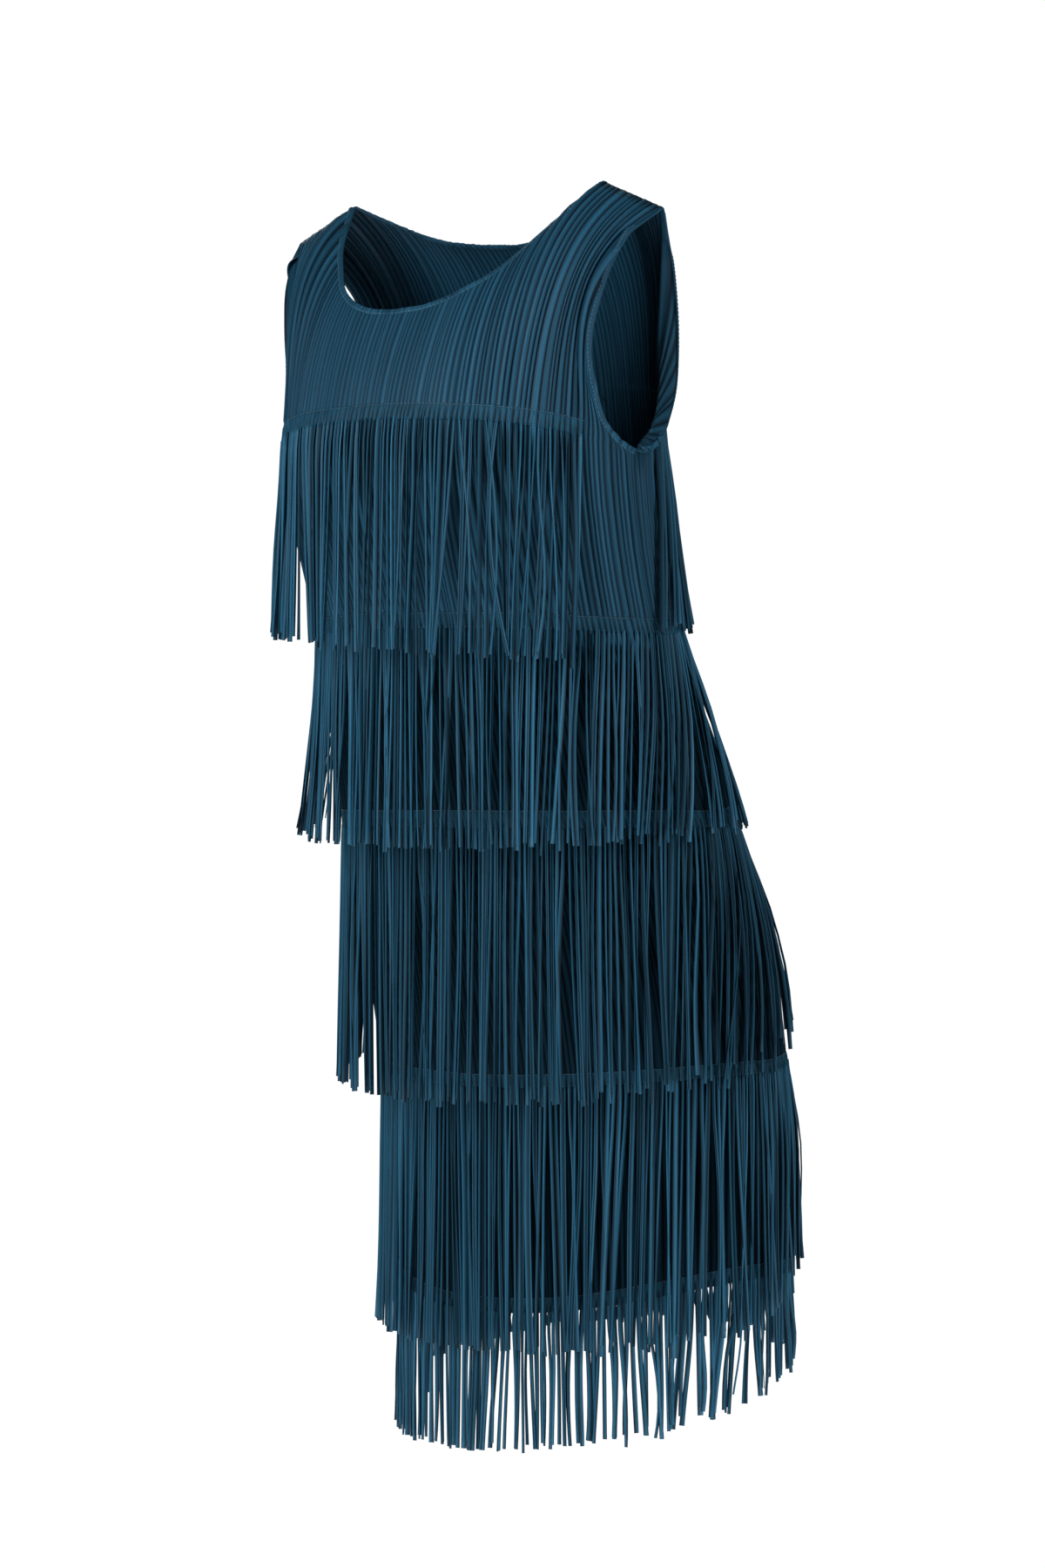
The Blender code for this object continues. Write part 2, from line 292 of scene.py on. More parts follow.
    def ring(self, row: float, facing: Facing, places: Array) -> Array:
        """Spreads points along one row, evenly by length of cloth between the side seams.

        Args:
            row: the row, between the hem's and the chest's.
            facing: the front or the back.
            places: the points' places.

        Returns:
            The points.
        """
        level = self.level_at(row)
        angle = np.linspace(-math.pi / 2, math.pi / 2, self.ring_steps + 1)
        run = lengths_along(self.ring_point(level, facing, angle)[:, :2])
        return self.ring_point(level, facing, np.interp(places, run / run[-1] * 2 - 1, angle))

    def top_edge(self, facing: Facing, places: Array) -> Array:
        """Follows neckline, shoulder seam and armhole as one line, each of the three smooth in itself.

        Args:
            facing: the front or the back.
            places: the points' places.

        Returns:
            The points.
        """
        rows = self.front_edge if facing is Facing.FRONT else self.back_edge
        stops = np.array([r.place for r in rows])
        axes = np.array([[r.x, r.y, r.z] for r in rows])
        away = np.abs(places)
        ends = (0.0, self.neck_end, self.strap_end, 1.0)
        found = np.zeros((len(places), 3))
        for low, high in zip(ends[:-1], ends[1:]):
            inside = (away >= low) & (away <= high)
            kept = (stops >= low) & (stops <= high)
            for axis in range(3):
                found[inside, axis] = smooth_read(away[inside], stops[kept], axes[kept, axis])
        found[:, 0] *= np.sign(places)
        return found

    def grid(self, facing: Facing, places: Array, rows: Array) -> Array:
        """Points for every place and row.

        Above row 5 each column is a cubic from the bust to the top edge. It leaves the bust leaning
        back a little, and ends leaning back more the higher it reaches. At a shoulder's outer end it
        leans outwards too.

        Args:
            facing: the front or the back.
            places: the columns.
            rows: the rows, rising.

        Returns:
            The points, one row of them for each place.
        """
        lines = [self.ring(row, facing, places) for row in rows[rows <= CHEST_ROW]]
        low, top = self.ring(CHEST_ROW, facing, places), self.top_edge(facing, places)
        rise = top[:, 2:] - low[:, 2:]
        height = np.clip((top[:, 2:] + self.chest_depth) / self.chest_depth, 0.0, 1.0)
        span = self.shoulder_end_x - self.neck_point_x
        outer = np.clip((np.abs(top[:, :1]) - self.neck_point_x) / span, 0.0, 1.0)
        lean = self.top_lean + self.shoulder_lean * height**self.lean_power
        none = np.zeros_like(rise)
        begin = np.concatenate([none, none - facing.value * self.bust_lean, none + 1], axis=1) * rise
        spread = self.cap_spread * outer**2 * np.sign(top[:, :1])
        upward = 1 - self.shoulder_rounding * height**3
        end = np.concatenate([spread, -facing.value * lean, upward], axis=1) * rise
        for share in rows[rows > CHEST_ROW] - CHEST_ROW:
            at_low, leave, at_top, arrive = cubic_weights(share)
            lines.append(at_low * low + leave * begin + at_top * top + arrive * end)
        return np.stack(lines, axis=1)


@dataclass
class FormTable:
    """The form on a fine grid, so that any piece can read a point and its outward direction."""

    form: DressForm
    facing: Facing
    columns: int = 801
    skirt_rows: int = 76
    bodice_rows: int = 41
    # The last rows at the side seams, which follow the armhole and don't face straight sideways.
    armhole_rows: int = 8
    # How far above a row the run of the cloth is read there.
    just_above: float = 0.02

    def __post_init__(self) -> None:
        """Works out the points, the outward directions and the changes along both parameters."""
        self.places = np.linspace(-1.0, 1.0, self.columns)
        bodice = np.linspace(CHEST_ROW, TOP_ROW, self.bodice_rows)[1:]
        self.rows = np.concatenate([np.linspace(HEM_ROW, CHEST_ROW, self.skirt_rows), bodice])
        self.points = self.form.grid(self.facing, self.places, self.rows)
        along = np.gradient(self.points, self.places, axis=0)
        self.up = np.gradient(self.points, self.rows, axis=1)
        self.outs = unit(-self.facing.value * np.cross(along, self.up))
        away = np.abs(self.places)
        strap = (away >= self.form.neck_end) & (away <= self.form.strap_end)
        self.outs[strap, -1] = (0.0, 0.0, 1.0)
        self.outs[[0, -1], : -self.armhole_rows] = np.array([[[-1.0, 0, 0]], [[1.0, 0, 0]]])

    def read(self, values: Array, place: Array, row: Array) -> Array:
        """Reads one of the tables between its grid points, by weighting the four nearest.

        Args:
            values: the table.
            place: where to read it.
            row: the rows there.

        Returns:
            The values, one row of them for each place and row.
        """
        place, row = np.broadcast_arrays(np.clip(place, -1, 1), np.clip(row, HEM_ROW, TOP_ROW))
        i = np.clip(np.searchsorted(self.places, place) - 1, 0, len(self.places) - 2)
        j = np.clip(np.searchsorted(self.rows, row) - 1, 0, len(self.rows) - 2)
        f = ((place - self.places[i]) / (self.places[i + 1] - self.places[i]))[..., None]
        g = ((row - self.rows[j]) / (self.rows[j + 1] - self.rows[j]))[..., None]
        low = values[i, j] * (1 - f) + values[i + 1, j] * f
        high = values[i, j + 1] * (1 - f) + values[i + 1, j + 1] * f
        return low * (1 - g) + high * g

    def point(self, place: Array, row: Array) -> Array:
        """Mid-surface points."""
        return self.read(self.points, place, row)

    def out(self, place: Array, row: Array) -> Array:
        """Outward directions."""
        return unit(self.read(self.outs, place, row))

    def run(self, place: Array, row: float) -> Array:
        """Metres of cloth from a row to the next, at the rate just above it."""
        return np.linalg.norm(self.read(self.up, place, np.asarray(row + self.just_above)), axis=-1)

    def row_above(self, place: Array, row: float, height: Array) -> Array:
        """The row that lies this far up the cloth from another one."""
        return row + height / self.run(place, row)


@dataclass
class PleatField:
    """Heat-set pleats of uneven width, as a height over the mid-surface.

    Across one pleat the height is 1 - 2|2t-1|^3.2 times its own depth, so the tops are nearly flat
    and the creases narrow. Each top is tilted a little to one side. The depth wavers slowly along
    the pleat.
    """

    facing: Facing
    pleats: int = 104
    depth: float = 0.92 * MM
    flatness: float = 3.2
    seed: int = 11
    # How uneven the pleats are, and how much deeper a wide one is.
    width_spread: float = 0.30
    width_limits: tuple[float, float] = (0.45, 1.6)
    peak_limits: tuple[float, float] = (0.34, 0.66)
    depth_limits: tuple[float, float] = (0.55, 1.4)
    depth_growth: float = 0.8
    tilt_spread: float = 1.1
    tone_spread: float = 0.13
    tone_limits: tuple[float, float] = (0.7, 1.3)
    # A zone's depth at the centre, how much it grows, and the distances between which it does.
    front_zone: tuple[float, float, float, float] = (0.55, 0.65, 0.20, 0.60)
    back_zone: tuple[float, float, float, float] = (0.62, 0.45, 0.30, 0.75)
    skirt_zone: tuple[float, float, float, float] = (0.90, 0.28, 0.70, 0.82)
    bodice_rows: tuple[float, float] = (4.6, 5.2)
    # Sizes and rates of the three waves in which a pleat's depth changes along it.
    wavers: tuple[tuple[float, float], ...] = ((0.28, 1.7), (0.20, 4.3), (0.12, 9.1))
    ripple: float = 0.30 * MM
    ripple_rows: tuple[float, float] = (4.8, 5.4)

    def __post_init__(self) -> None:
        """Draws the pleats' widths, peaks and depths."""
        rng = np.random.default_rng(self.seed + self.facing.value)
        widths = np.clip(rng.normal(1.0, self.width_spread, self.pleats), *self.width_limits)
        run = np.concatenate([[0.0], np.cumsum(widths)])
        self.bounds = run / run[-1] * 2 - 1
        self.peaks = rng.uniform(*self.peak_limits, self.pleats)
        self.depths = self.depth * widths**self.depth_growth * rng.uniform(*self.depth_limits, self.pleats)
        self.phases = rng.uniform(0, 2 * math.pi, (len(self.wavers), self.pleats))
        self.tilts = rng.normal(0, self.tilt_spread, self.pleats)
        self.tones = np.clip(rng.normal(1.0, self.tone_spread, self.pleats), *self.tone_limits)

    def columns(self) -> Array:
        """Places of the mesh's columns: the valleys and three points between each two."""
        steps = np.array([0.0, 0.12, 0.50, 0.88])
        q = self.peaks[:, None]
        t = np.where(steps < 0.5, steps * 2 * q, q + (steps - 0.5) * 2 * (1 - q))
        widths = np.diff(self.bounds)[:, None]
        return np.append((self.bounds[:-1, None] + widths * t).reshape(-1), 1.0)

    def zone(self, place: Array, row: Array) -> Array:
        """How deep the pleats stand in each part of the panel.

        Args:
            place: the points' places.
            row: their rows.

        Returns:
            The depths, as a share of the pleats' own.
        """
        bodice = smoothstep(row, *self.bodice_rows)
        upper_zone = self.front_zone if self.facing is Facing.FRONT else self.back_zone
        skirt, upper = (
            middle + growth * smoothstep(np.abs(place), low, high)
            for middle, growth, low, high in (self.skirt_zone, upper_zone)
        )
        return (1 - bodice) * skirt + bodice * upper

    def phase(self, place: Array) -> tuple[Array, Array]:
        """Finds each place's pleat.

        Args:
            place: the points' places.

        Returns:
            The pleats' numbers, and how far across them the points lie, with the ridge at one half.
        """
        k = np.clip(np.searchsorted(self.bounds, place, side="right") - 1, 0, self.pleats - 1)
        t = (place - self.bounds[k]) / (self.bounds[k + 1] - self.bounds[k])
        q = self.peaks[k]
        t = np.where(t < q, t / (2 * q), 0.5 + (t - q) / (2 * (1 - q)))
        return k, np.clip(t, 0.0, 1.0)

    def ridge(self, place: Array) -> Array:
        """How high each place lies on its pleat.

        Args:
            place: the points' places.

        Returns:
            About 1 on the tilted top and -1 in a crease.
        """
        k, t = self.phase(place)
        fall = np.abs(2 * t - 1) ** self.flatness
        return 1 - 2 * fall + self.tilts[k] * (t - 0.5) * (1 - fall)

    def openness(self, place: Array) -> Array:
        """0 down in a crease and 1 on the rest of a pleat."""
        _, t = self.phase(place)
        return smoothstep(np.minimum(t, 1 - t), 0.02, 0.22)

    def tone(self, place: Array, row: Array) -> Array:
        """Each pleat's own tone, which counts for more where the pleats stand deeper."""
        k, _ = self.phase(place)
        return 1 + (self.tones[k] - 1) * self.zone(place, row)

    def height(self, place: Array, row: Array) -> Array:
        """Height of the pleated cloth over the mid-surface, with a soft ripple in the bodice.

        Args:
            place: the points' places.
            row: their rows.

        Returns:
            The heights.
        """
        place, row = np.broadcast_arrays(place, row)
        k, _ = self.phase(place)
        waver = np.ones(place.shape)
        for phases, (size, rate) in zip(self.phases, self.wavers):
            waver += size * np.sin(rate * row + phases[k])
        pleat = self.ridge(place) * self.depths[k] * waver * self.zone(place, row)
        ripple = np.sin(31 * place + 1.3 * np.sin(1.9 * row)) + 0.6 * np.sin(53 * place + 2.1 * row)
        return pleat + self.ripple * ripple * smoothstep(row, *self.ripple_rows)


class Mesh:
    """Points and faces gathered as arrays, with values on the points and a UV map."""

    def __init__(self) -> None:
        """Starts empty."""
        self.points: list[Array] = []
        self.faces: list[Quads] = []
        self.values: dict[str, list[Array]] = {}
        self.uvs: list[Array] = []
        self.count = 0

    def add(self, points: Array, faces: Quads, uv: Array, **values: Array) -> None:
        """Adds a surface.

        Args:
            points: one row for each point.
            faces: quads as numbers of those points.
            uv: one pair for each point, in metres of cloth.
            values: named values, one for each point.
        """
        self.points.append(points.reshape(-1, 3))
        self.faces.append(faces.reshape(-1, 4) + self.count)
        self.uvs.append(uv.reshape(-1, 2))
        for name, value in values.items():
            self.values.setdefault(name, []).append(np.broadcast_to(value, points.shape[:-1]).reshape(-1))
        self.count += points.reshape(-1, 3).shape[0]

    def make(self, name: str, material: Material) -> bpy.types.Object:
        """Puts the arrays into one mesh object.

        Args:
            name: the object's name.
            material: its finish.

        Returns:
            The object, at the origin.
        """
        points, faces = np.concatenate(self.points), np.concatenate(self.faces)
        mesh = bpy.data.meshes.new(name)
        mesh.vertices.add(len(points))
        mesh.vertices.foreach_set("co", points.astype(np.float32).reshape(-1))
        mesh.loops.add(faces.size)
        mesh.loops.foreach_set("vertex_index", faces.astype(np.int32).reshape(-1))
        mesh.polygons.add(len(faces))
        mesh.polygons.foreach_set("loop_start", np.arange(0, faces.size, 4, dtype=np.int32))
        layer = mesh.uv_layers.new(name="cloth")
        uv = np.concatenate(self.uvs)[faces.reshape(-1)]
        layer.data.foreach_set("uv", uv.astype(np.float32).reshape(-1))
        for key, parts in self.values.items():
            attribute = mesh.attributes.new(key, "FLOAT", "POINT")
            attribute.data.foreach_set("value", np.concatenate(parts).astype(np.float32))
        mesh.polygons.foreach_set("use_smooth", np.ones(len(faces), dtype=bool))
        mesh.update(calc_edges=True)
        mesh.validate()
        mesh.materials.append(material)
        obj = bpy.data.objects.new(name, mesh)
        bpy.context.scene.collection.objects.link(obj)
        return obj


def grid_faces(shape: tuple[int, int], flip: bool = False) -> Quads:
    """Quads between neighbours of a grid of points numbered row by row.

    Args:
        shape: the grid's two counts.
        flip: whether the quads face the other way.

    Returns:
        The quads as numbers of points.
    """
    n = np.arange(shape[0] * shape[1]).reshape(shape)
    corners = (n[:-1, :-1], n[1:, :-1], n[1:, 1:], n[:-1, 1:])
    return np.stack(corners[::-1] if flip else corners, axis=-1).reshape(-1, 4)


def shell_faces(columns: int, rows: int, flip: bool) -> Quads:
    """Quads of a closed cloth wall: an outer grid, an inner grid and the rim between them.

    Args:
        columns: the grids' columns.
        rows: their rows.
        flip: whether the quads face the other way.

    Returns:
        The quads as numbers of points, with the outer grid's first.
    """
    first = np.arange(columns * rows).reshape(columns, rows)
    rim = np.concatenate([first[:, 0], first[-1, 1:], first[-2::-1, -1], first[0, -2::-1]])
    edge = np.stack([rim, rim + columns * rows], axis=1)
    quads = np.stack([edge[:-1, 0], edge[:-1, 1], edge[1:, 1], edge[1:, 0]], axis=-1)
    outer = grid_faces((columns, rows))
    inner = grid_faces((columns, rows), flip=True) + columns * rows
    faces = np.concatenate([outer, inner, quads])
    return faces[:, ::-1] if flip else faces


def tube_faces(strands: int, rings: int, sides: int) -> Quads:
    """Quads of many closed strips of equal build, each with a flat cap of quads at both ends.

    Args:
        strands: how many strips there are.
        rings: each strip's rings.
        sides: each ring's points, an even number.

    Returns:
        The quads as numbers of points.
    """
    n = np.arange(strands * rings * sides).reshape(strands, rings, sides)
    after = np.roll(n, -1, axis=2)
    wall = np.stack([n[:, :-1], after[:, :-1], after[:, 1:], n[:, 1:]], axis=-1).reshape(-1, 4)
    across = np.arange(sides // 2 - 1)
    corners = (across, across + 1, sides - 2 - across, sides - 1 - across)
    caps = []
    for ring, turned in ((0, True), (rings - 1, False)):
        cap = np.stack([n[:, ring, corner] for corner in corners], axis=-1).reshape(-1, 4)
        caps.append(cap[:, ::-1] if turned else cap)
    return np.concatenate([wall, *caps])


def linear(code: str) -> tuple[float, float, float, float]:
    """Turns an sRGB colour into the linear values that shaders take.

    Args:
        code: the colour as # and six hex digits.

    Returns:
        Red, green, blue and an alpha of 1.
    """
    parts = [int(code[i : i + 2], 16) / 255 for i in (1, 3, 5)]
    values = [c / 12.92 if c <= 0.04045 else ((c + 0.055) / 1.055) ** 2.4 for c in parts]
    return (*values, 1.0)


def add_node(
    tree: Tree, kind: str, settings: dict[str, object] | None = None, **links: object
) -> bpy.types.Node:
    """Adds a shader node.

    Args:
        tree: the material's node tree.
        kind: the node's type without its ShaderNode prefix.
        settings: properties of the node, such as its operation.
        links: for each input, by name with _ for a space or by number as i0 or i1, a value or
            another node's output.

    Returns:
        The new node.
    """
    node = tree.nodes.new("ShaderNode" + kind)
    for key, value in (settings or {}).items():
        setattr(node, key, value)
    for key, value in links.items():
        numbered = key[0] == "i" and key[1:].isdigit()
        socket = node.inputs[int(key[1:]) if numbered else key.replace("_", " ")]
        if isinstance(value, Socket):
            tree.links.new(value, socket)
        else:
            socket.default_value = value
    return node


def multiplied(tree: Tree, one: Socket, other: Socket | float) -> Socket:
    """One node's output times another's or a number."""
    return add_node(tree, "Math", {"operation": "MULTIPLY"}, i0=one, i1=other).outputs["Value"]


def scaled(tree: Tree, vector: Socket | tuple[float, ...], scale: Socket | float) -> Socket:
    """A colour or a vector times a number."""
    return add_node(tree, "VectorMath", {"operation": "SCALE"}, Vector=vector, Scale=scale).outputs["Vector"]


def noise(tree: Tree, vector: Socket, scale: float, detail: float, roughness: float = 0.5) -> Socket:
    """A soft noise between 0 and 1."""
    node = add_node(tree, "TexNoise", Vector=vector, Scale=scale, Detail=detail, Roughness=roughness)
    return node.outputs["Fac"]


def mapped(tree: Tree, value: Socket, low: float, high: float, margin: float = 0.0) -> Socket:
    """Stretches a value between 0 and 1 to other limits.

    Args:
        tree: the material's node tree.
        value: the value.
        low: what it becomes at the margin.
        high: what it becomes at 1 less the margin.
        margin: how much of each end of its range is cut off.

    Returns:
        The new value.
    """
    limits = {"From_Min": margin, "From_Max": 1.0 - margin, "To_Min": low, "To_Max": high}
    return add_node(tree, "MapRange", Value=value, **limits).outputs["Result"]


def attribute(tree: Tree, name: str) -> Socket:
    """A value that the mesh holds for each of its points."""
    return add_node(tree, "Attribute", {"attribute_name": name}).outputs["Fac"]


def new_material(name: str, **settings: object) -> tuple[Material, Tree, bpy.types.Node]:
    """Starts a material.

    Args:
        name: its name.
        settings: for each input of its shader, by name with _ for a space, a value.

    Returns:
        The material, its node tree and its shader.
    """
    material = bpy.data.materials.new(name)
    material.use_nodes = True
    shader = material.node_tree.nodes["Principled BSDF"]
    for key, value in settings.items():
        shader.inputs[key.replace("_", " ")].default_value = value
    return material, material.node_tree, shader


@dataclass(frozen=True)
class PleatedPolyester:
    """Heat-pleated polyester: a fine, slightly glossy weave, set into creases.

    The ridges have the shader's satin sheen and a painted highlight; the creases painted shade, almost navy.
    """

    name: str = "heat_pleated_polyester"
    # Ramp colours: a painted highlight on the ridges, the cloth's own colour, painted shade in the creases.
    ridge: str = "#2d6c8c"
    body: str = "#1c4b66"
    crease: str = "#06151f"
    sheen: str = "#7fb2c8"
    roughness: float = 0.52
    sheen_weight: float = 0.08
    gloss: float = 0.22
    # Real threads are about 0.25 mm apart. They are drawn at 0.9 mm, so that the weave shows.
    thread: float = 0.9 * MM
    thread_relief: float = 0.10 * MM
    # Streaks run along the pleats: how many there are to a metre across them and along them.
    streaks: tuple[float, float, float] = (900.0, 35.0, 1.0)
    # How much of a noise's range, which it hardly uses, is cut off at both ends.
    noise_margin: float = 0.3
    roughness_spread: float = 0.07

    def make(self) -> Material:
        """Builds the node material, which reads the points' crease value of painted fold shade, their tone
        and the UV map.

        Returns:
            The material.
        """
        material, tree, shader = new_material(
            self.name,
            IOR=1.5,
            Sheen_Weight=self.sheen_weight,
            Sheen_Roughness=0.45,
            Sheen_Tint=linear(self.sheen),
        )
        uv = add_node(tree, "TexCoord").outputs["UV"]
        tone = attribute(tree, "tone")
        # The ramp paints shade into the creases and a highlight onto the ridges.
        ramp = add_node(tree, "ValToRGB", Fac=attribute(tree, "crease"))
        ramp.color_ramp.elements[0].color = linear(self.crease)
        ramp.color_ramp.elements[1].color = linear(self.ridge)
        middle = ramp.color_ramp.elements.new(0.45)
        middle.color = linear(self.body)
        threads = scaled(tree, uv, 1 / self.thread)
        fleck = noise(tree, threads, 1.0, 2.0, 0.6)
        streak_at = add_node(tree, "Mapping", Vector=uv, Scale=self.streaks).outputs["Vector"]
        streak = noise(tree, streak_at, 1.0, 3.0)
        fleck_tone = mapped(tree, fleck, 0.86, 1.13, self.noise_margin)
        streak_tone = mapped(tree, streak, 0.88, 1.12, self.noise_margin)
        shade = multiplied(tree, multiplied(tree, fleck_tone, streak_tone), tone)
        tree.links.new(scaled(tree, ramp.outputs["Color"], shade), shader.inputs["Base Color"])
        least, most = self.roughness - self.roughness_spread, self.roughness + self.roughness_spread
        tree.links.new(mapped(tree, streak, least, most), shader.inputs["Roughness"])
        bump = add_node(tree, "Bump", Height=fleck, Distance=self.thread_relief, Strength=0.8)
        tree.links.new(bump.outputs["Normal"], shader.inputs["Normal"])
        # The tone scales the gloss too, so the painted shade under the fringe dims its reflection as well.
        tree.links.new(multiplied(tree, tone, self.gloss), shader.inputs["Specular IOR Level"])
        return material


@dataclass(frozen=True)
class PolyesterThread:
    """Spun polyester sewing thread, paler than the cloth, with a soft gleam along its twist."""

    name: str = "spun_polyester_thread"
    colour: str = "#689fb8"
    roughness: float = 0.5
    twists: float = 1500.0

    def make(self) -> Material:
        """Builds the material, with a fine twist in its colour.

        Returns:
            The material.
        """
        material, tree, shader = new_material(self.name, Roughness=self.roughness, Sheen_Weight=0.2)
        place = add_node(tree, "TexCoord").outputs["Object"]
        twist = mapped(tree, noise(tree, place, self.twists, 1.0), 0.75, 1.25)
        # The tone carries the bands' painted shade under the tier above into the stitches.
        tone = multiplied(tree, twist, attribute(tree, "tone"))
        tree.links.new(scaled(tree, linear(self.colour)[:3], tone), shader.inputs["Base Color"])
        return material


@dataclass
class Stitches:
    """Rows of lockstitch: each stitch a short bead of thread that dips at both ends."""

    length: float = 2.3 * MM
    pitch: float = 3.1 * MM
    radius: float = 0.19 * MM
    sides: int = 4
    # Along a stitch: the distance from its middle in its own lengths, its thickness as a share of
    # the thread's and its lift in mm.
    stations: tuple[tuple[float, float, float], ...] = (
        (-0.5, 0.35, -0.12),
        (-0.32, 0.9, 0.08),
        (0.0, 1.0, 0.16),
        (0.32, 0.9, 0.08),
        (0.5, 0.35, -0.12),
    )

    def along(self, line: Array) -> Array:
        """Spreads the stitches along a line.

        Args:
            line: the line's points.

        Returns:
            Where they lie, as numbers of points with a fraction.
        """
        run = lengths_along(line)
        count = max(int(run[-1] / self.pitch), 2)
        return np.interp((np.arange(count) + 0.5) * run[-1] / count, run, np.arange(len(line)))

    def build(self, mesh: Mesh, line: Array, outs: Array, tone: Array) -> None:
        """Adds a stitch for each pitch of a line.

        Args:
            mesh: what the stitches are added to.
            line: points of the row of stitching, on the cloth's outer face.
            outs: outward direction at each point.
            tone: how much light reaches each point.
        """
        at = self.along(line)
        i = np.clip(at.astype(int), 0, len(line) - 2)
        f = (at - i)[:, None]
        centre = line[i] * (1 - f) + line[i + 1] * f
        along = unit(line[i + 1] - line[i])
        out = unit(outs[i] * (1 - f) + outs[i + 1] * f)
        side = unit(np.cross(along, out))
        reach, thickness, lift = np.array(self.stations).T
        reach, radius, lift = reach * self.length, thickness * self.radius, lift * MM
        turn = np.linspace(0, 2 * math.pi, self.sides, endpoint=False)
        spine = centre[:, None] + along[:, None] * reach[:, None] + out[:, None] * lift[:, None]
        ring = side[:, None] * np.cos(turn)[:, None] + out[:, None] * np.sin(turn)[:, None]
        points = spine[:, :, None] + ring[:, None] * radius[None, :, None, None]
        lit = np.broadcast_to(tone[i][:, None, None], points.shape[:-1])
        faces = tube_faces(len(at), len(self.stations), self.sides)
        mesh.add(points, faces, np.zeros((*points.shape[:-1], 2)), tone=lit)


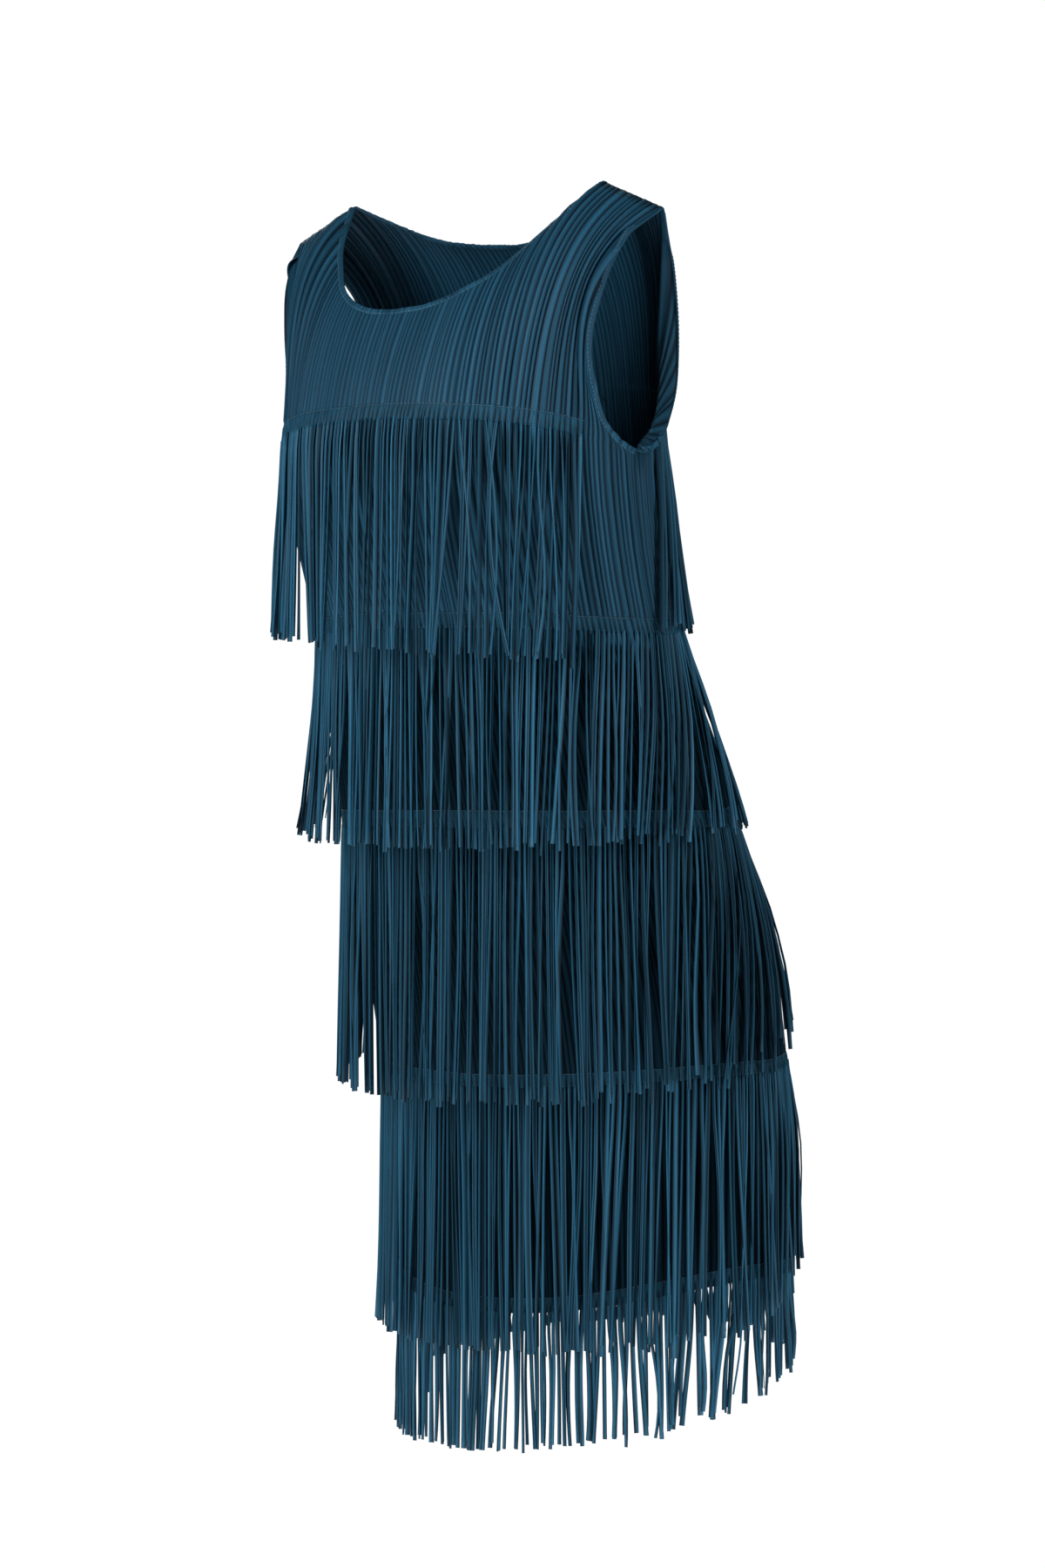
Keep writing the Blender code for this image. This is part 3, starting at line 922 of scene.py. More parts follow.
@dataclass
class PleatedPanel:
    """The front or the back of the dress: one wall of pleated cloth from hem to neckline."""

    table: FormTable
    pleats: PleatField
    # Each tier stitched to the panel: its root row, how far round it reaches and its tips' heights.
    seams: tuple[tuple[float, float, Across], ...]
    thickness: float = 0.5 * MM
    stitch_height: float = 10.8 * MM
    press_width: float = 1.9 * MM
    press: float = 0.62
    # Cloth under the fringe sees little light: a share is taken off its colour, less under tier 1.
    under_slits: float = 0.68
    under_first: float = 0.05
    under_lower: float = 0.80
    slit_rows: tuple[float, float] = (4.66, 4.97)
    shade_edge: float = 3.0 * MM
    seam_edge: float = 0.03
    # The outer face's tone, and the inner face's, which is painted darker as shade inside the dress.
    outer_tone: float = 0.93
    inner_shaded_tone: float = 0.80
    # Pleats flatten towards the neckline and the armholes, down to a share of their height.
    edge_flat: float = 0.30
    edge_band: tuple[float, float] = (2.0 * MM, 8.0 * MM)
    edge_points: int = 700
    side_seam: float = 0.012
    # Painted light on the pleats: the value of a pleat's plain top, where its ridge has a painted highlight
    # of 1, and how deep a flat zone's painted crease shade is.
    plain_top: float = 0.72
    flat_crease: float = 0.35
    # Rows of the mesh just over each row of stitching, and the ones between.
    stitch_rows: tuple[float, ...] = (0.0, 0.028, 0.048, 0.060, 0.070, 0.080, 0.092, 0.115)
    skirt_rows: tuple[float, ...] = (
        *(0.25, 0.5, 0.75, 1.3, 1.6, 1.8, 2.0, 2.3),
        *(2.6, 3.3, 3.5, 3.75, 4.3, 4.5, 4.7, 4.85),
    )
    dense_bodice: float = 5.24

    def rows(self) -> Array:
        """Spaces the mesh's rows closer together at the stitching and low in the bodice.

        Returns:
            The rows, rising.
        """
        near = np.array(self.stitch_rows)
        lower = [root + near for root, _, _ in self.seams if root < CHEST_ROW]
        dense = np.linspace(CHEST_ROW, self.dense_bodice, 19)
        upper = np.linspace(self.dense_bodice, TOP_ROW, 21)
        return np.unique(np.concatenate([*lower, self.skirt_rows, dense, upper]).round(6))

    def pressed(self, place: Array, row: Array) -> Array:
        """How much the rows of stitching press the pleats flat.

        Args:
            place: the points' places.
            row: their rows.

        Returns:
            1 on a row of stitching, and 0 a few millimetres away.
        """
        found = np.zeros(np.broadcast(place, row).shape)
        for root, reach, _ in self.seams:
            away = ((row - root) * self.table.run(place, root) - self.stitch_height) / self.press_width
            found = found + np.exp(-(away**2)) * (np.abs(place) <= reach)
        return np.clip(found, 0.0, 1.0)

    def relief(self, place: Array, row: Array) -> Array:
        """Height of the cloth's own pleats, pressed down along the stitching and at the side seams.

        Args:
            place: the points' places.
            row: their rows.

        Returns:
            The heights over the mid-surface.
        """
        seam = smoothstep(1 - np.abs(place), 0.0, self.side_seam)
        return self.pleats.height(place, row) * (1 - self.press * self.pressed(place, row)) * seam

    def shade(self, place: Array, row: Array, z: Array) -> Array:
        """How much of the light the fringe takes from the panel, from 0 where the panel shows.

        Args:
            place: the points' places.
            row: their rows.
            z: their heights.

        Returns:
            The share of its colour that each point loses.
        """
        found = np.zeros(place.shape)
        for root, reach, tips in self.seams:
            below = 1 - smoothstep(row, root - self.seam_edge, root)
            beside = smoothstep(np.abs(place), reach - self.seam_edge, reach + self.seam_edge) * (reach < 1)
            over = smoothstep(z - tips.at(place), -self.shade_edge, self.shade_edge)
            deep = np.full(place.shape, self.under_lower)
            if root == CHEST_ROW:
                slits = smoothstep(row, *self.slit_rows)
                deep = self.under_first + (self.under_slits - self.under_first) * slits
            found = np.maximum(found, deep * below * over * (1 - beside))
        return found

    def near_edge(self, points: Array) -> Array:
        """How far each point lies from the panel's neckline, shoulder and armhole edge.

        Args:
            points: the points.

        Returns:
            The distances, or 1 m for points well below the edge.
        """
        count = self.edge_points
        edge = self.table.point(np.linspace(-1, 1, count), np.full(count, TOP_ROW))
        far = np.full(points.shape[:-1], 1.0)
        close = points[..., 2] > edge[:, 2].min() - 0.02
        gap = points[close][:, None] - edge[None]
        far[close] = np.sqrt((gap * gap).sum(axis=-1).min(axis=1))
        return far

    def build(self, material: Material) -> bpy.types.Object:
        """Lays the pleats over the form and gives the cloth its thickness.

        Args:
            material: the cloth's finish.

        Returns:
            The panel.
        """
        columns = self.pleats.columns()
        rows = self.rows()
        place, row = np.meshgrid(columns, rows, indexing="ij")
        middle, out = self.table.point(place, row), self.table.out(place, row)
        flat = self.edge_flat + (1 - self.edge_flat) * smoothstep(self.near_edge(middle), *self.edge_band)
        height = self.relief(place, row) * flat
        outer = middle + out * (height + self.thickness / 2)[..., None]
        inner = middle + out * (height - self.thickness / 2)[..., None]
        run = lengths_along(outer[:, 10])
        uv = np.stack([np.broadcast_to(run[:, None], place.shape), -outer[..., 2]], axis=-1)
        # Painted fold shade: a highlight on each ridge and shade down in each crease, weaker where the pleats
        # lie flat.
        depth = self.flat_crease + (1 - self.flat_crease) * self.pleats.zone(place, row).clip(0, 1)
        top = self.plain_top + (1 - self.plain_top) * np.clip(self.pleats.ridge(place), 0, 1)
        crease = top * (1 - (1 - self.pleats.openness(place)) * depth)
        # Tone: each pleat's own tone, with painted shade taken off where the fringe covers the panel.
        tone = self.outer_tone * self.pleats.tone(place, row) * (1 - self.shade(place, row, middle[..., 2]))
        inside = np.full(tone.shape, self.inner_shaded_tone)
        facing = self.table.facing
        mesh = Mesh()
        mesh.add(
            np.stack([outer, inner]),
            shell_faces(len(columns), len(rows), facing is Facing.BACK),
            np.stack([uv, uv]),
            crease=np.stack([crease, crease]),
            tone=np.stack([tone, inside]),
        )
        name = "pleated_front" if facing is Facing.FRONT else "pleated_back"
        obj = mesh.make(name, material)
        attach(obj, "root")
        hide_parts("front_panel" if facing is Facing.FRONT else "back_panel")
        return obj


@dataclass
class TurnedEdge:
    """A narrow turned edge of the panel's own cloth, stitched down.

    Its section is a flat loop laid over the cloth's edge, carried along the edge. Where pleats run
    into the edge it rises and falls with them.
    """

    parts: tuple[tuple[PleatedPanel, float, float], ...]
    stitch_at: float = 3.6 * MM
    stitch_lift: float = 0.62 * MM
    spacing: float = 1.3 * MM
    # The row just below the edge, whose outward directions and pleats the edge takes.
    nearby_row: float = 5.96
    pleat_share: float = 0.55
    # The pleats' rise counts in full where they run straight into the edge, from these sines on.
    crossing: tuple[float, float] = (0.55, 0.9)
    fine_steps: int = 1500
    # Painted light on the edge: its value where no pleat runs in, and how far a pleat's rise paints it
    # lighter and its fall darker.
    plain_crease: float = 0.62
    crease_spread: float = 0.35
    point_passes: int = 4
    direction_passes: int = 9
    # Across the edge: how far in from it, and how far over the cloth, in mm.
    outline: tuple[tuple[float, float], ...] = (
        (4.6, 0.20),
        (4.3, 0.52),
        (3.6, 0.50),
        (2.4, 0.66),
        (1.0, 0.68),
        (0.1, 0.52),
        (-0.35, 0.00),
        (0.1, -0.52),
        (1.0, -0.62),
        (3.8, -0.58),
        (4.4, -0.45),
        (4.6, -0.12),
    )

    def frame(self, panel: PleatedPanel, start: float, end: float) -> tuple[Array, Array, Array, Array]:
        """Reads one panel's edge at even steps.

        Args:
            panel: the panel.
            start: the place where this part of the edge starts.
            end: the place where it ends.

        Returns:
            Points of the edge, directions in from it, outward directions and the rise of the pleats.
        """
        facing, form = panel.table.facing, panel.table.form
        fine = np.linspace(start, end, self.fine_steps)
        run = lengths_along(form.top_edge(facing, fine))
        place = np.append(np.interp(np.arange(0, run[-1], self.spacing), run, fine), end)
        point = form.top_edge(facing, place)
        along = unit(np.gradient(point, axis=0))
        row = np.full(len(place), self.nearby_row)
        out = panel.table.out(place, row)
        out = unit(out - along * (out * along).sum(axis=-1, keepdims=True))
        inward = np.cross(out, along)
        down = -unit(panel.table.read(panel.table.up, place, row))
        inward = inward * np.sign((inward * down).sum())
        crossing = np.linalg.norm(np.cross(along, down), axis=-1)
        rise = self.pleat_share * panel.pleats.height(place, row) * smoothstep(crossing, *self.crossing)
        return point, inward, out, rise

    def build(self, mesh: Mesh, stitches: Mesh) -> None:
        """Adds the edge's strip and its row of stitches.

        Args:
            mesh: what the strip is added to.
            stitches: what the stitches are added to.
        """
        frames = [np.concatenate(parts) for parts in zip(*(self.frame(*part) for part in self.parts))]
        point, inward, out, rise = frames
        # The two panels' directions differ where they meet, so the stations near share them out.
        for _ in range(self.point_passes):
            point = (np.roll(point, 1, axis=0) + 2 * point + np.roll(point, -1, axis=0)) / 4
        for _ in range(self.direction_passes):
            inward = unit(np.roll(inward, 1, axis=0) + 2 * inward + np.roll(inward, -1, axis=0))
            out = unit(np.roll(out, 1, axis=0) + 2 * out + np.roll(out, -1, axis=0))
        outline = np.array(self.outline) * MM
        lift = outline[None, :, 1] + rise[:, None]
        ring = point[:, None] + inward[:, None] * outline[None, :, :1] + out[:, None] * lift[..., None]
        ring = np.concatenate([ring, ring[:1]])
        run = lengths_along(ring[:, 0])
        uv = np.stack(np.broadcast_arrays(run[:, None], np.linspace(0, 0.012, ring.shape[1])[None]), axis=-1)
        # Painted light: the edge is painted lighter where a pleat rises under it and darker where one falls.
        crease = self.plain_crease + self.crease_spread * np.clip(rise / (0.3 * MM), -1, 1)
        crease = np.append(crease, self.plain_crease)
        mesh.add(
            ring[None],
            tube_faces(1, len(ring), ring.shape[1]),
            uv[None],
            crease=np.broadcast_to(crease[None, :, None], (1, *ring.shape[:2])),
            tone=np.ones((1, *ring.shape[:2])),
        )
        line = point + inward * self.stitch_at + out * (rise + self.stitch_lift)[:, None]
        Stitches().build(stitches, line, out, np.ones(len(line)))


@dataclass
class Outlines:
    """The dress seen from above at many heights, for strands to lie against."""

    tables: tuple[FormTable, ...]
    # Below this height the hem's outline goes straight on down.
    lowest: float = -0.806
    points: int = 181
    skirt_rows: int = 41
    bodice_rows: int = 9
    # A longer step joins two parts of the outline across an armhole, and is left out.
    longest_step: float = 0.02

    def __post_init__(self) -> None:
        """Keeps coarse columns of both panels."""
        self.places = np.linspace(-1, 1, self.points)
        bodice = np.linspace(CHEST_ROW, TOP_ROW, self.bodice_rows)[1:]
        self.rows = np.concatenate([np.linspace(HEM_ROW, CHEST_ROW, self.skirt_rows), bodice])
        place, row = np.meshgrid(self.places, self.rows, indexing="ij")
        self.grids = [table.point(place, row) for table in self.tables]

    def at(self, z: float) -> tuple[Array, Array, Array]:
        """Cuts the dress at one height.

        Args:
            z: the height.

        Returns:
            Starts, steps and outward directions of the outline's straight pieces.
        """
        starts, steps, outs = [], [], []
        for table, grid in zip(self.tables, self.grids):
            heights = grid[:, :, 2]
            level = max(z, self.lowest)
            below = (heights[:, :-1] <= level) & (heights[:, 1:] > level)
            column = np.nonzero(below.any(axis=1))[0]
            row = below[column].argmax(axis=1)
            low, high = grid[column, row], grid[column, row + 1]
            share = ((level - low[:, 2]) / (high[:, 2] - low[:, 2]))[:, None]
            line = (low + (high - low) * share)[:, :2]
            step = np.diff(line, axis=0)
            kept = np.linalg.norm(step, axis=1) < self.longest_step
            out = unit(table.facing.value * np.stack([-step[:, 1], step[:, 0]], axis=-1))
            starts.append(line[:-1][kept])
            steps.append(step[kept])
            outs.append(out[kept])
        return np.concatenate(starts), np.concatenate(steps), np.concatenate(outs)

    def push(self, points: Array, z: float, standoff: Array) -> tuple[Array, Array]:
        """Moves points straight out of the cloth until each stands off by its own amount.

        Args:
            points: X and Y of each strand at this height.
            z: the height.
            standoff: the least distance of each strand from the mid-surface.

        Returns:
            The moved points and the outward directions there.
        """
        starts, steps, outs = self.at(z)
        gap = points[:, None] - starts[None]
        share = ((gap * steps).sum(-1) / (steps * steps).sum(-1)).clip(0, 1)
        nearest = np.linalg.norm(gap - steps * share[..., None], axis=-1).argmin(axis=1)
        out = outs[nearest]
        height = (gap[np.arange(len(points)), nearest] * out).sum(-1)
        return points + out * np.maximum(standoff - height, 0.0)[:, None], out


@dataclass(frozen=True)
class Stray:
    """A strip that lies over its neighbours: where it hangs, how far it bows and where its tip lands."""

    place: float
    bow: float
    shift: float


@dataclass(frozen=True)
class TierPlan:
    """What sets one half band of fringe apart from the others."""

    number: int
    facing: Facing
    root_row: float
    reach: float
    # Heights of the tips, and how many mm they lean to the wearer's left.
    tips: Across
    leans: Across
    # How far the right side's tips stand out, and how closely its strips gather.
    swing: float
    gather: float = 0.0
    strays: tuple[Stray, ...] = ()
    # How closely neighbours can close up, how far strips turn and how deep they are folded.
    cling: float = 0.35
    twist: float = 0.70
    fold_angle: float = 50.0
    # Painted light for the whole tier: brighter in tiers 1 and 2, darker in 3 and 4; the spread is random.
    tone: float = 1.0
    tone_spread: float = 0.22
    # How much more uneven the tips are at the wearer's left hip.
    unruly: float = 0.9
    # The band's tone where the tier above reaches over it: painted shade.
    shaded_tone: float = 0.48
    on_ridges: bool = False
    # A free band hangs from the hem, with no cloth behind it.
    free: bool = False

    @property
    def node(self) -> str:
        """The solid that the half band stands for."""
        return f"fringe_{self.number}_{self.facing.name.lower()}"

    @property
    def seed(self) -> int:
        """The seed of its random draws."""
        return self.number * 10 + self.facing.value


@dataclass
class FringeTier:
    """One half of a fringe band: pleated cloth stitched to the dress, cut into long strips below.

    A strip hangs straight down from its root unless the cloth leans out under it, and then it
    slides straight down the slope. Across, a strip is folded along the pleats it was cut from.
    """

    plan: TierPlan
    panel: PleatedPanel
    outlines: Outlines
    # Heights of the tips of the tier above, which shades the band where it reaches over it.
    above: Across | None
    band_tone: float = 0.80
    band_height: float = 11.4 * MM
    band_lift: float = 0.75 * MM
    seat: float = 0.28 * MM
    ridge_height: float = 0.7 * MM
    widest_strip: float = 5.9 * MM
    strip_thickness: float = 0.36 * MM
    root_angle: float = 44.0
    # Between these heights the band comes loose from the stitching.
    loose_heights: tuple[float, float] = (1.5 * MM, 10.0 * MM)
    # Points of the band's mesh across each strip, and how far up in mm its lower rows lie.
    band_steps: tuple[float, ...] = (0.0, 0.16, 0.5, 0.84)
    band_rows: tuple[float, ...] = (-0.6, 1.5, 4.0, 6.5, 8.6, 9.8, 10.6)
    # The band is this share of the panel's half row wide, so that two halves don't touch.
    side_gap: float = 0.9985
    # How far strips keep off the mid-surface, in mm, at shares of their length.
    standoffs: tuple[tuple[float, float], ...] = (
        (0.0, 1.05),
        (0.1, 2.1),
        (0.3, 2.8),
        (0.6, 3.5),
        (0.85, 4.1),
    )
    layer_depth: float = 3.4 * MM
    stray_lift: float = 3.0 * MM
    tip_spread: float = 1.8 * MM
    # Chances that a strip starts a new group, where they gather and elsewhere.
    group_chances: tuple[float, float] = (0.13, 0.24)
    group_lean: float = 1.0 * MM
    own_lean: float = 1.5 * MM
    bend: float = 1.1 * MM
    kink: float = 3.5 * MM
    kink_chance: float = 0.04
    root_turn: float = 0.30
    upright_chance: float = 0.78
    angle_spread: float = 9.0
    angle_limits: tuple[float, float] = (30.0, 66.0)
    # Ups and downs across a strip, in sixths of its width.
    folds: tuple[str, ...] = ("+++---", "++----", "++++--", "++--++", "-+++--", "++---+")
    fold_chances: tuple[float, ...] = (0.26, 0.20, 0.18, 0.16, 0.08, 0.12)
    rings: tuple[float, ...] = (0, 0.02, 0.045, 0.09, 0.18, 0.30, 0.43, 0.56, 0.69, 0.81, 0.92, 1)

    def __post_init__(self) -> None:
        """Cuts the band along the panel's valleys, or along its ridges, and wide pleats once more inside."""
        self.rng = np.random.default_rng(self.plan.seed)
        self.table = self.panel.table
        bounds = self.panel.pleats.bounds
        bounds = bounds[np.abs(bounds) <= self.plan.reach]
        if self.plan.on_ridges:
            bounds = np.concatenate([bounds[:1], (bounds[:-1] + bounds[1:]) / 2, bounds[-1:]])
        root = self.table.point(bounds, np.full(len(bounds), self.plan.root_row))
        wide = np.linalg.norm(np.diff(root, axis=0), axis=1) > self.widest_strip
        inside = bounds[:-1] + np.diff(bounds) * self.rng.uniform(0.40, 0.60, len(wide))
        self.bounds = np.sort(np.concatenate([bounds, inside[wide]])) * self.side_gap
        self.centres = (self.bounds[:-1] + self.bounds[1:]) / 2
        self.strands = len(self.centres)

    def band_lift_at(self, place: Array, height: Array) -> Array:
        """How far the band's cloth stands over the mid-surface.

        At the stitching it is the panel's own pleats and a hair. Towards the cuts it stands
        further off, and each strip gets a ridge of its own.

        Args:
            place: the points' places.
            height: how far up the band they lie.

        Returns:
            The distances.
        """
        k = np.clip(np.searchsorted(self.bounds, place, side="right") - 1, 0, self.strands - 1)
        t = (place - self.bounds[k]) / (self.bounds[k + 1] - self.bounds[k])
        ridge = 1 - 2 * np.abs(2 * np.clip(t, 0, 1) - 1) ** 1.5
        loose = 1 - smoothstep(height, *self.loose_heights)
        own = self.panel.relief(place, self.table.row_above(place, self.plan.root_row, height))
        return self.seat + own * (1 - loose) + (self.band_lift + self.ridge_height * ridge) * loose

    def lit(self, place: Array, z: Array) -> Array:
        """The band's tone: its own, or painted shade where the tier above reaches over it.

        Args:
            place: the points' places.
            z: their heights.

        Returns:
            The tones.
        """
        tone = np.full(place.shape, self.band_tone)
        if self.above is None:
            return tone
        hidden = smoothstep(z - self.above.at(place), -5.0 * MM, 4.0 * MM)
        return tone + (self.plan.shaded_tone - tone) * hidden

    def build_band(self, mesh: Mesh, stitches: Mesh) -> None:
        """Adds the uncut band and its row of stitching.

        Args:
            mesh: what the band is added to.
            stitches: what the stitches are added to.
        """
        widths = np.diff(self.bounds)[:, None]
        inside = self.bounds[:-1, None] + widths * np.array(self.band_steps)
        places = np.append(inside.reshape(-1), self.bounds[-1])
        heights = np.append(self.band_rows, self.band_height / MM) * MM
        place, height = np.meshgrid(places, heights, indexing="ij")
        row = self.table.row_above(place, self.plan.root_row, height)
        out = self.table.out(place, row)
        lift = self.band_lift_at(place, height)
        base = self.table.point(place, row)
        half = self.strip_thickness / 2
        walls = np.stack([base + out * (lift + half)[..., None], base + out * (lift - half)[..., None]])
        run = lengths_along(base[:, 0])
        uv = np.stack([np.broadcast_to(run[:, None], place.shape), height], axis=-1)
        loose = 1 - smoothstep(height, *self.loose_heights)
        # Painted light on the band: lighter where its strips' ridges stand out and darker between them.
        crease = np.clip((lift - self.seat - self.band_lift * loose) / (1.4 * MM) + 0.5, 0, 1)
        tone = self.lit(place, base[..., 2])
        mesh.add(
            walls,
            shell_faces(len(places), len(heights), self.table.facing is Facing.BACK),
            np.stack([uv, uv]),
            crease=np.stack([crease, crease]),
            tone=np.stack([tone, tone]),
        )
        line = np.linspace(self.bounds[0], self.bounds[-1], 1100)
        at = self.panel.stitch_height + 0.25 * MM * np.sin(np.linspace(0, 19, len(line)) + self.plan.seed)
        row = self.table.row_above(line, self.plan.root_row, at)
        out = self.table.out(line, row)
        lift = self.band_lift_at(line, at) + half + 0.10 * MM
        points = self.table.point(line, row) + out * lift[:, None]
        Stitches().build(stitches, points, out, self.lit(line, points[:, 2]))

    def hang(self, root: Array, tip: Array, layer: Array) -> tuple[Array, Array]:
        """Lets the strips' middles hang from their roots to their tips' heights.

        Args:
            root: the strips' roots.
            tip: the heights of the tips.
            layer: how far each strip keeps outside the ones below it.

        Returns:
            Each strip's points from root to tip and its outward directions in plan.
        """
        n = self.strands
        shares, distances = np.array(self.standoffs).T
        levels = np.arange(root[:, 2].max(), tip.min() - 0.006, -0.005)
        xy, kept, dirs = root[:, :2].copy(), [], []
        for z in levels:
            share = np.clip((root[:, 2] - z) / (root[:, 2] - tip), 0.0, 1.0)
            standoff = np.interp(share, shares, distances * MM)
            standoff = standoff + layer * smoothstep(share, 0.05, 0.45)
            if self.plan.free:
                standoff = np.zeros(n)
            pushed, facing_out = self.outlines.push(xy, float(z), standoff)
            xy = np.where((z < root[:, 2])[:, None], pushed, xy)
            kept.append(xy.copy())
            dirs.append(facing_out)
        kept_xy, kept_out = np.stack(kept, axis=1), np.stack(dirs, axis=1)
        share = np.array(self.rings)
        top = root[:, 2] + 0.8 * MM
        z = top[:, None] + (tip - top)[:, None] * share
        points, outward = np.empty((n, len(share), 3)), np.empty((n, len(share), 2))
        points[..., 2] = z
        for i in range(n):
            for axis in range(2):
                points[i, :, axis] = np.interp(-z[i], -levels, kept_xy[i, :, axis])
                outward[i, :, axis] = np.interp(-z[i], -levels, kept_out[i, :, axis])
        return points, unit(outward)

    def paths(self) -> tuple[Array, Array, Array]:
        """Hangs the strips, then leans, gathers and bends them.

        Neighbours lean together along a smooth wave. Groups of two or three close up towards
        their tips, and each strip bends a little in its own way.

        Returns:
            Each strip's points from root to tip, its outward directions and its width.
        """
        rng, n, p = self.rng, self.strands, self.centres
        row = np.full(n, self.plan.root_row)
        root = self.table.point(p, row) + self.table.out(p, row) * (self.seat + self.band_lift)
        ends = [self.table.point(b, row) for b in (self.bounds[:-1], self.bounds[1:])]
        width = np.linalg.norm(ends[1] - ends[0], axis=1)
        unruly = 1 + self.plan.unruly * smoothstep(p, 0.40, 0.80)
        tip = self.plan.tips.at(p) + rng.normal(0, self.tip_spread, n) * unruly
        layer = rng.uniform(0.0, self.layer_depth, n)
        strays = [(int(np.abs(p - stray.place).argmin()), stray) for stray in self.plan.strays]
        for i, _ in strays:
            layer[i] += self.stray_lift
        points, outward = self.hang(root, tip, layer)
        s = np.array(self.rings)
        free_side = smoothstep(-p, 0.40, 0.55) * self.plan.gather
        clump = np.cumsum(rng.random(n) < np.where(free_side > 0.3, *self.group_chances))
        pull = rng.uniform(0.05, self.plan.cling, clump.max() + 1)[clump]
        pull = pull * (1 - free_side) + 0.85 * free_side
        middle = (np.bincount(clump, p) / np.maximum(np.bincount(clump), 1))[clump]
        pitch = np.diff(self.bounds)
        drift = (middle - p) / pitch * width * pull
        wave = 2.4 * MM * np.sin(7.3 * p + self.plan.seed) + 1.5 * MM * np.sin(17.9 * p + 2 * self.plan.seed)
        lean = rng.normal(0, self.group_lean, clump.max() + 1)[clump] + rng.normal(0, self.own_lean, n)
        lean = wave + lean * unruly + self.plan.leans.at(p) * MM + drift
        phase, waves = rng.uniform(0, 2 * math.pi, n), rng.uniform(0.3, 0.9, n)
        size = np.abs(rng.normal(0, self.bend, n)) + self.kink * (rng.random(n) < self.kink_chance)
        size = size * (1 - 0.5 * free_side)
        bend = np.sin(phase[:, None] + 2 * math.pi * waves[:, None] * s) - np.sin(phase)[:, None]
        sway = lean[:, None] * s**1.3 + size[:, None] * bend * smoothstep(s, 0.0, 0.4)
        for i, stray in strays:
            sway[i] = stray.bow * np.sin(math.pi * s) * MM + stray.shift * MM * s**1.5
        swing = rng.uniform(0.0, 1.6 * MM, n)
        swing = swing + self.plan.swing * smoothstep(-p, 0.30, 0.80) * rng.uniform(0.75, 1.1, n)
        radial = swing[:, None] * s**1.5 + 0.5 * size[::-1, None] * (1 + np.sin(phase[:, None] + 5.0 * s)) * s
        along = np.stack([-outward[..., 1], outward[..., 0]], axis=-1) * -self.table.facing.value
        points[..., :2] += along * sway[..., None] + outward * radial[..., None]
        return points, outward, width

    def build_strands(self, mesh: Mesh) -> None:
        """Adds the cut strips, each folded along its pleats and slowly turning as it hangs.

        Args:
            mesh: what the strips are added to.
        """
        rng, n = self.rng, self.strands
        points, outward, width = self.paths()
        s = np.array(self.rings)
        tangent = unit(np.gradient(points, axis=1))
        out = np.concatenate([outward, np.zeros((n, len(s), 1))], axis=-1)
        side = unit(np.cross(tangent, out))
        out = unit(np.cross(side, tangent))
        turn = rng.normal(0, self.root_turn, n)[:, None] * smoothstep(s, 0.0, 0.25)
        turn = turn + rng.normal(0, self.plan.twist, n)[:, None] * s
        cos, sin = np.cos(turn)[..., None], np.sin(turn)[..., None]
        side, out = side * cos + out * sin, out * cos - side * sin
        patterns = np.array([[1.0 if c == "+" else -1.0 for c in fold] for fold in self.folds])
        folds = patterns.shape[1]
        height = np.concatenate([np.zeros((len(patterns), 1)), np.cumsum(patterns, axis=1) / folds], axis=1)
        height = height - height.mean(axis=1, keepdims=True)
        upright = np.where(rng.random(n) < self.upright_chance, 1, -1)[:, None]
        height = height[rng.choice(len(patterns), n, p=self.fold_chances)] * upright
        angle = np.clip(rng.normal(self.plan.fold_angle, self.angle_spread, n), *self.angle_limits)[:, None]
        opened = self.root_angle + (angle - self.root_angle) * smoothstep(s, 0.0, 0.06)
        opened = opened + 4.0 * np.sin(rng.uniform(0, 6, n)[:, None] + 4.0 * s) * smoothstep(s, 0.1, 0.3)
        opened = np.radians(opened - 7.0 * smoothstep(s, 0.88, 1.0))
        u = np.linspace(-0.5, 0.5, folds + 1)
        x = u * (np.cos(opened) * width[:, None])[..., None]
        y = height[:, None] * (np.sin(opened) * width[:, None])[..., None]
        half = self.strip_thickness / 2 / np.cos(opened)[..., None]
        loop_x = np.concatenate([x, x[..., ::-1]], axis=-1)
        loop_y = np.concatenate([y + half, (y - half)[..., ::-1]], axis=-1)
        ring = points[:, :, None] + side[:, :, None] * loop_x[..., None] + out[:, :, None] * loop_y[..., None]
        length = np.linalg.norm(points[:, 0] - points[:, -1], axis=-1)
        down = np.broadcast_to((length[:, None] * s)[..., None], ring.shape[:-1])
        span = np.concatenate([u, u[::-1]]) * width[:, None, None] + rng.uniform(0, 5, n)[:, None, None]
        uv = np.stack([np.broadcast_to(span, ring.shape[:-1]), -down], axis=-1)
        # Painted fold shade: raised parts of a strip's folds lighter, low parts darker, and its inner face at
        # half.
        raised = (height - height.min(axis=1, keepdims=True)) / np.ptp(height, axis=1)[:, None]
        raised = np.concatenate([raised, 0.5 * raised[:, ::-1]], axis=1)
        crease = 0.05 + 0.95 * np.broadcast_to(raised[:, None], ring.shape[:-1])
        # The tier's tone is painted light; each strip's own tone differs at random.
        tone = self.plan.tone * np.clip(rng.normal(1.0, self.plan.tone_spread, n), 0.5, 1.5)
        tone = np.broadcast_to(tone[:, None, None], ring.shape[:-1])
        mesh.add(ring, tube_faces(n, len(s), 2 * folds + 2), uv, crease=crease, tone=tone)

    def build(self, material: Material, stitches: Mesh) -> bpy.types.Object:
        """Makes the band and its strips one piece.

        Args:
            material: the cloth's finish.
            stitches: what the band's stitches are added to.

        Returns:
            The piece.
        """
        mesh = Mesh()
        self.build_band(mesh, stitches)
        self.build_strands(mesh)
        obj = mesh.make("cut_" + self.plan.node, material)
        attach(obj, "root")
        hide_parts(self.plan.node)
        return obj


@dataclass(frozen=True)
class StripLight:
    """An upright strip light, aimed at the dress; its azimuth counts from the camera's, in degrees."""

    name: str
    azimuth: float
    z: float
    distance: float
    width: float
    height: float
    power: float


